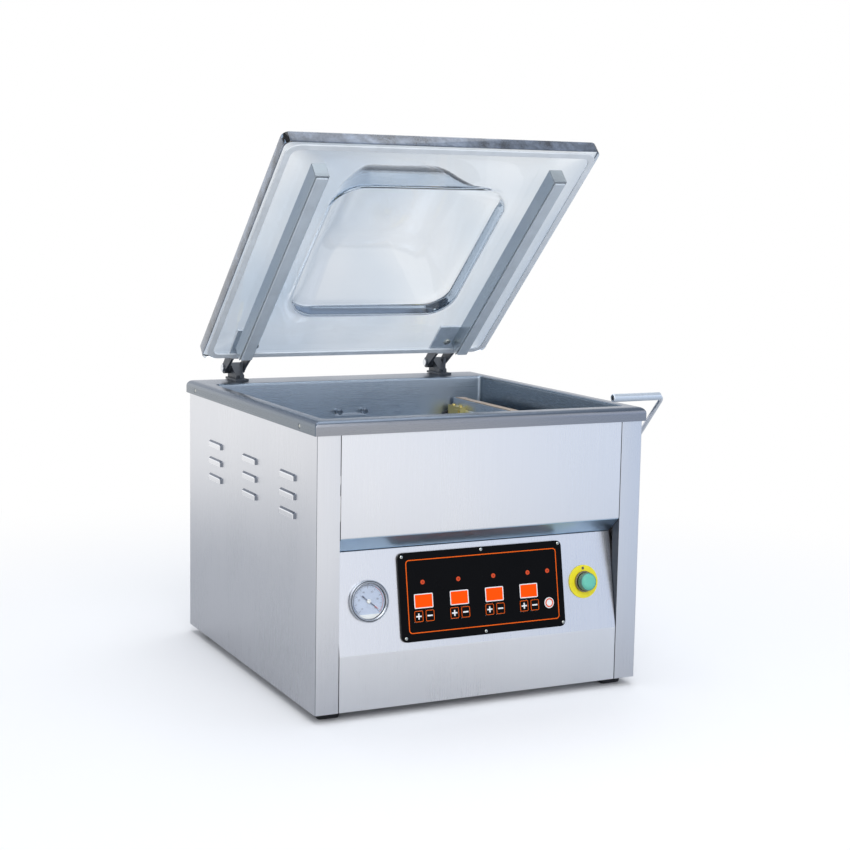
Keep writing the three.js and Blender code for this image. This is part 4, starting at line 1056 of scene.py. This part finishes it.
def add_port():
    at = spot(*SUCTION, CHAMBER_FLOOR)
    flange = [(11, -32), (15, -32), (15, 0.3), (24, 0.3), (24, 2), (21, 4.5), (11, 4.5)]
    port = Shape(lathe(flange, 64, closed=True), at)
    for i in range(-3, 4):
        middle = i * 3.2
        reach = math.sqrt(11.2 ** 2 - middle ** 2)
        port.add(slab((-reach, reach), (middle - 0.7, middle + 0.7), (1.4, 3.2)), at)
    piece("suction_flange", port, ON_CABINET, [CHROME], "suction_port", bevel=0.3)


# ---------- machinery behind the sheets ----------
def build_machinery():
    refined("vacuum_pump", "pump_casting", CAST_GREY, 1.5)
    refined("pump_motor", "motor_casting", CAST_GREY, 1.0)
    refined("seal_transformer", "transformer_core", COPPER, 1.0)
    refined("solenoid_valve", "valve_body", BRASS, 0.6)
    refined("vacuum_hose", "hose_run", RUBBER, 0.3, 1, 60)


# ---------- lid ----------
def build_lid():
    wide, long, mid = LID["width"], LID["length"], LID["middle"]
    low, high = LID["low"], LID["high"]
    rings = []

    def plate_ring(inset, z):
        corner = max(LID["corner"] - inset, 2)
        rings.append(level_ring(wide - 2 * inset, long - 2 * inset, corner, z, mid, 14))

    def dome_ring(inset, z):
        across, along = DOME["width"] - 2 * inset, DOME["length"] - 2 * inset
        corner = min(DOME["corner"] - inset * 0.15, across * 0.42)
        rings.append(level_ring(across, along, corner, z, DOME["middle"], 14))

    def dome_face(grow, foot, flare, top):
        """Insets and heights up one face of the dome, from its flared foot to its round shoulder."""
        slope = DOME["lean"] / (DOME["top"] - DOME["wall"] - low)

        def wall_at(z):
            return Vector((slope * (z - low) - grow, z, 0))

        outside = wall_at(foot) - Vector((flare, 0, 0))
        points = bend_path(wall_at(foot), outside, wall_at(foot + flare), 8)
        start = wall_at(top - DOME["shoulder"])
        points += [start.lerp(points[-1], 1 - i / 5) for i in range(1, 5)]
        points += bend_path(wall_at(top), start, wall_at(top) + Vector((DOME["shoulder"], 0, 0)), 12)
        return points

    def crown(points):
        """The nearly flat top, a little higher in its middle."""
        edge_of_top = points[-1]
        run = DOME["width"] / 2 - 20 - edge_of_top.x
        for share in (0.2, 0.4, 0.6, 0.8, 1.0):
            rise = DOME["crown"] * math.sin(share * math.pi / 2)
            points.append(edge_of_top + Vector((run * share, rise, 0)))
        return points

    top = DOME["top"] - DOME["crown"]
    outside = crown(dome_face(DOME["wall"] * 1.18, high, DOME["foot"], top))
    inside = crown(dome_face(0, low, DOME["lip"], top - DOME["wall"]))
    for point in reversed(outside):
        dome_ring(point.x, point.y)
    edge = 1.6
    for x, z in arc((-edge, -edge), edge, 90, 0, 4):
        plate_ring(-x, high + z)
    for x, z in arc((-edge, edge), edge, 0, -90, 4):
        plate_ring(-x, low + z)
    for point in inside:
        dome_ring(point.x, point.y)
    cover = piece(
        "lid_clear_shell", Shape(loft(rings)), ON_LID, [ACRYLIC, ACRYLIC_EDGE_PAINTED_REFLECTION],
        "lid_acrylic", angle=50,
    )

    def edge_face(where, normal):
        return 1 if where.x < 0.9 - wide / 2 or where.y < mid - long / 2 + 0.9 else None

    repaint(cover, ON_LID, edge_face)
    refined("lid_gasket", "lid_seal_ring", GASKET, 0.8, 3)


def build_lid_bars():
    pivot_y = round((LID_PIVOT.y - ORIGIN.y) / MM, 3)
    front, back = BAR["front"] - pivot_y, BAR["back"] - pivot_y
    high = LID["low"] - 0.3
    low = high - BAR["height"]
    half = BAR["width"] / 2
    groove, groove_depth = 9.3, 1.6
    section = [(-half, low), (-groove, low), (-groove, low + groove_depth), (groove, low + groove_depth)]
    section += [(groove, low), (half, low), (half, high), (-half, high)]
    for label, side in SIDES:
        x = side * BAR["x"]
        rings = [[(x + u, y, z) for u, z in section] for y in (front + 2.6, back)]
        piece(
            f"lid_bar_section_{label}", Shape(loft(rings)), ON_LID, [ALUMINIUM_LID],
            f"lid_bar_{label}", bevel=0.7,
        )
        cap = Shape(slab((x - half, x + half), (front, front + 2.4), (low, high)))
        piece(
            f"lid_bar_cap_{label}", cap, ON_LID, [ALUMINIUM_END],
            body="lid", bevel=0.8,
        )
        strip = Shape(slab((x - 9, x + 9), (front + 3, back - 2), (low - 2.6, low + 1.2)))
        piece(
            f"lid_bar_strip_{label}", strip, ON_LID, [SILICONE_GREY],
            f"silicone_strip_{label}", bevel=1.4, segments=4,
        )


def build_hinges():
    def tab(where, normal):
        return 1 if where.y > LID["back"] + 3 else None

    for label, side in SIDES:
        plate = refined(f"hinge_bracket_{label}", f"hinge_plate_{label}", BRACKET_PAINTED_LIGHT, 0.8, 3)
        plate.data.materials.append(CAST)
        repaint(plate, ON_LID, tab)
        refined(f"hinge_post_{label}", f"hinge_stand_{label}", CAST, 0.8, 3)
        refined(f"hinge_pin_{label}", f"hinge_axle_{label}", CHROME, 0.4)
        bolts = Shape()
        for y in (-38, -14):
            at = spot(side * HINGE_X, LID["back"] + y, LID["high"] + 4.3)
            bolts.add(washer(3.6, 8.6, 0.0, 1.2, 48), at)
            nut = lathe([(0, 0.5), (6.4, 0.5), (6.4, 4.6), (5.4, 5.4), (0, 5.5)], 6)
            bolts.add(nut, at @ spot(rz=12))
            bolts.add(lathe([(0, 5.0), (2.6, 5.0), (2.6, 7.4), (2.0, 8.0), (0, 8.0)], 32), at)
        head = spot(side * (HINGE_X - 12), LID["back"] - 32, LID["low"], rx=180)
        screw = lathe([(0, -0.1), (6.6, -0.1), (6.6, 1.6), (5.4, 3.0), (3.0, 3.6), (0, 3.7)], 40)
        bolts.add(screw, head)
        # The screw's slot is a black slab on its head: painted shade.
        bolts.add(slab((-4.2, 4.2), (-0.8, 0.8), (3.1, 3.75)), head @ spot(rz=35), 1)
        piece(
            f"hinge_bolts_{label}", bolts, ON_LID, [NICKEL, BLACK],
            body="lid", bevel=0.3,
        )


# ---------- press lever ----------
def build_lever():
    refined("lever_pivot_boss", "lever_boss", CHROME, 0.6, 3)
    x = LEVER["x"]
    reach = LEVER_REACH
    elbow = 12
    grip_end = x - 6
    path = [(x, 9, 0), (x, reach / 2, 0), (x, reach - elbow - 2, 0)]
    path += bend_path((x, reach, 0), (x, reach - elbow, 0), (x - elbow, reach, 0), 14)
    path += [(x - elbow - 4, reach, 0), (grip_end - 60, reach, 0)]
    arm = Shape(tube(path, 3.5, 28))
    arm.add(washer(4.4, 11, -2.5, 2.5, 56), spot(x, ry=90))
    piece("lever_rod", arm, ON_LEVER, [CHROME], "lever_arm", bevel=0.6, angle=40)
    length = 82
    profile = [(3.8, 0), (5.2, 0), (5.9, 0.8), (5.9, length - 1.2), (5.0, length), (3.8, length)]
    grip = Shape(lathe(profile, 48, closed=True), spot(grip_end, reach, ry=-90))
    piece("lever_handle", grip, ON_LEVER, [ALUMINIUM_PALE], "lever_grip", bevel=0.3)


# ---------- studio ----------
# Rays through the clear lid find a backdrop that is a little darker at the machine's left.
ACROSS_VIEW = (0.9, -0.435, 0)
BACKDROP_TURN = (-0.13, 0.07)
BACKDROP_LEFT = (0.62, 0.665, 0.73, 1)
BACKDROP_RIGHT = (0.99, 0.99, 0.99, 1)
# Metal mirrors a bluer studio at the machine's right.
RIGHT_AND_FORWARD = (0.85, -0.5, 0)
PURE_WHITE = (1, 1, 1, 1)
FLOOR_REACH = 40
FLOOR_DROP = 0.0003
# Colours of the studio from straight below (0) to straight above (1).
WORLD_STOPS = (
    (0.44, (0.55, 0.56, 0.58, 1)), (0.50, (1.06, 1.07, 1.09, 1)), (0.60, (1.02, 1.03, 1.06, 1)),
    (0.74, (0.62, 0.66, 0.73, 1)), (0.86, (0.48, 0.52, 0.59, 1)), (1.0, (0.80, 0.84, 0.90, 1)),
)
LAMPS = (
    ("key", (-0.6, -2.7, 2.3), 2.2, 40),
    ("fill", (2.4, -2.0, 1.5), 2.0, 6),
    ("top", (0.2, 0.6, 3.0), 2.4, 26),
)
LAMP_AIM = Vector((0, 0, 0.3))


def build_floor():
    """A pale floor that turns white with distance. Metal mirrors a greyer one, darker at the right."""
    reach = FLOOR_REACH
    corners = [(-reach, -reach, 0), (reach, -reach, 0), (reach, reach, 0), (-reach, reach, 0)]
    mesh = bpy.data.meshes.new("floor")
    mesh.from_pydata(corners, [], [(0, 1, 2, 3)])
    ground = added("floor", mesh)
    ground.location.z = -FLOOR_DROP

    paint = Paint("floor_pale", (0.93, 0.925, 0.92), 0.8)
    place = paint.node("ShaderNodeTexCoord", {}, "Object")
    direction = paint.node("ShaderNodeVectorMath", {0: place}, operation="NORMALIZE")

    def fading(shader, start, end, strength, centre=(0, 0, 0), tint=PURE_WHITE):
        """The shader round the centre, turning into a plain glow further out."""
        away = paint.node("ShaderNodeVectorMath", {0: place, 1: centre}, "Value", operation="DISTANCE")
        glow = paint.node("ShaderNodeEmission", {"Color": tint, "Strength": strength})
        return paint.mix_shaders(paint.smooth(away, start, end), shader, glow)

    pale = paint.shader.outputs["BSDF"]
    grey = paint.node("ShaderNodeBsdfDiffuse", {"Color": (0.46, 0.465, 0.475, 1)})
    rightwards = paint.towards(direction, RIGHT_AND_FORWARD, 0.73, 0.93)
    in_metal = paint.mix_colors(rightwards, PURE_WHITE, (0.64, 0.73, 0.88, 1))
    mirrored = fading(grey, 0.45, 2.1, 0.95, (-0.26, 0.30, 0), in_metal)
    seen_through = fading(pale, 0.35, 1.5, 1.0, tint=paint.backdrop(direction))
    seen = fading(pale, 0.35, 1.5, 1.0)
    paint.feed(paint.output.inputs["Surface"], paint.by_ray(seen, seen_through, mirrored))
    mesh.materials.append(paint.material)


def build_world():
    """White to the camera. Metal mirrors a bright horizon, a dimmer ceiling and a bluer right side."""
    scene.world = bpy.data.worlds.new("studio")
    scene.world.use_nodes = True
    net = Net(scene.world.node_tree)
    direction = net.node("ShaderNodeTexCoord", {}, "Generated")
    height = net.node("ShaderNodeSeparateXYZ", {0: direction}, "Z")
    lift = net.node("ShaderNodeMapRange", {"Value": height, "From Min": -1, "From Max": 1})
    color = net.node("ShaderNodeValToRGB", {"Fac": lift}, "Color")
    stops = color.node.color_ramp.elements
    for i, (position, tone) in enumerate(WORLD_STOPS):
        stop = stops[i] if i < 2 else stops.new(position)
        stop.position = position
        stop.color = tone
    rightwards = net.towards(direction, RIGHT_AND_FORWARD, 0.74, 0.94)
    lit = net.mix_colors(rightwards, color, (0.30, 0.42, 0.64, 1), "MULTIPLY")
    colors = (PURE_WHITE, net.backdrop(direction), lit)
    seen, through, other = (net.node("ShaderNodeBackground", {"Color": sky}) for sky in colors)
    net.feed(net.tree.nodes["World Output"].inputs["Surface"], net.by_ray(seen, through, other))


def build_lamps():
    for name, location, size, energy in LAMPS:
        lamp = bpy.data.lights.new(name, "AREA")
        lamp.size = size
        lamp.energy = energy
        obj = added(name, lamp)
        obj.location = location
        obj.rotation_mode = "QUATERNION"
        obj.rotation_quaternion = (LAMP_AIM - Vector(location)).to_track_quat("-Z", "Y")


CAMERA_PLACE = (-1.11215, -2.32015, 0.7108)
CAMERA_AZIMUTH = math.radians(25.80)
CAMERA_DIP = math.radians(7.443)
CAMERA_ROLL = math.radians(0.964)
CAMERA_LENS = {
    "lens": 70.21, "sensor_width": 36, "shift_x": 0.0070, "shift_y": -0.0020, "clip_start": 0.05,
}


def build_camera():
    heading = Vector((math.sin(CAMERA_AZIMUTH), math.cos(CAMERA_AZIMUTH), 0))
    forward = heading * math.cos(CAMERA_DIP) - Vector((0, 0, math.sin(CAMERA_DIP)))
    level = Vector((heading.y, -heading.x, 0))
    over = level.cross(forward)
    right = level * math.cos(CAMERA_ROLL) + over * math.sin(CAMERA_ROLL)
    up = over * math.cos(CAMERA_ROLL) - level * math.sin(CAMERA_ROLL)
    lens = bpy.data.cameras.new("camera")
    for key, value in CAMERA_LENS.items():
        setattr(lens, key, value)
    scene.camera = added("camera", lens)
    turn = Matrix((right, up, -forward)).transposed().to_4x4()
    scene.camera.matrix_world = Matrix.Translation(CAMERA_PLACE) @ turn


for build in (
    build_camera, build_tub, build_sides, build_front, build_back, build_overlay, build_keys,
    build_gauge, build_button, build_chamber_fittings, build_machinery, build_lid, build_lid_bars,
    build_hinges, build_lever, build_floor, build_world, build_lamps,
):
    build()
scene.view_settings.view_transform = "Standard"
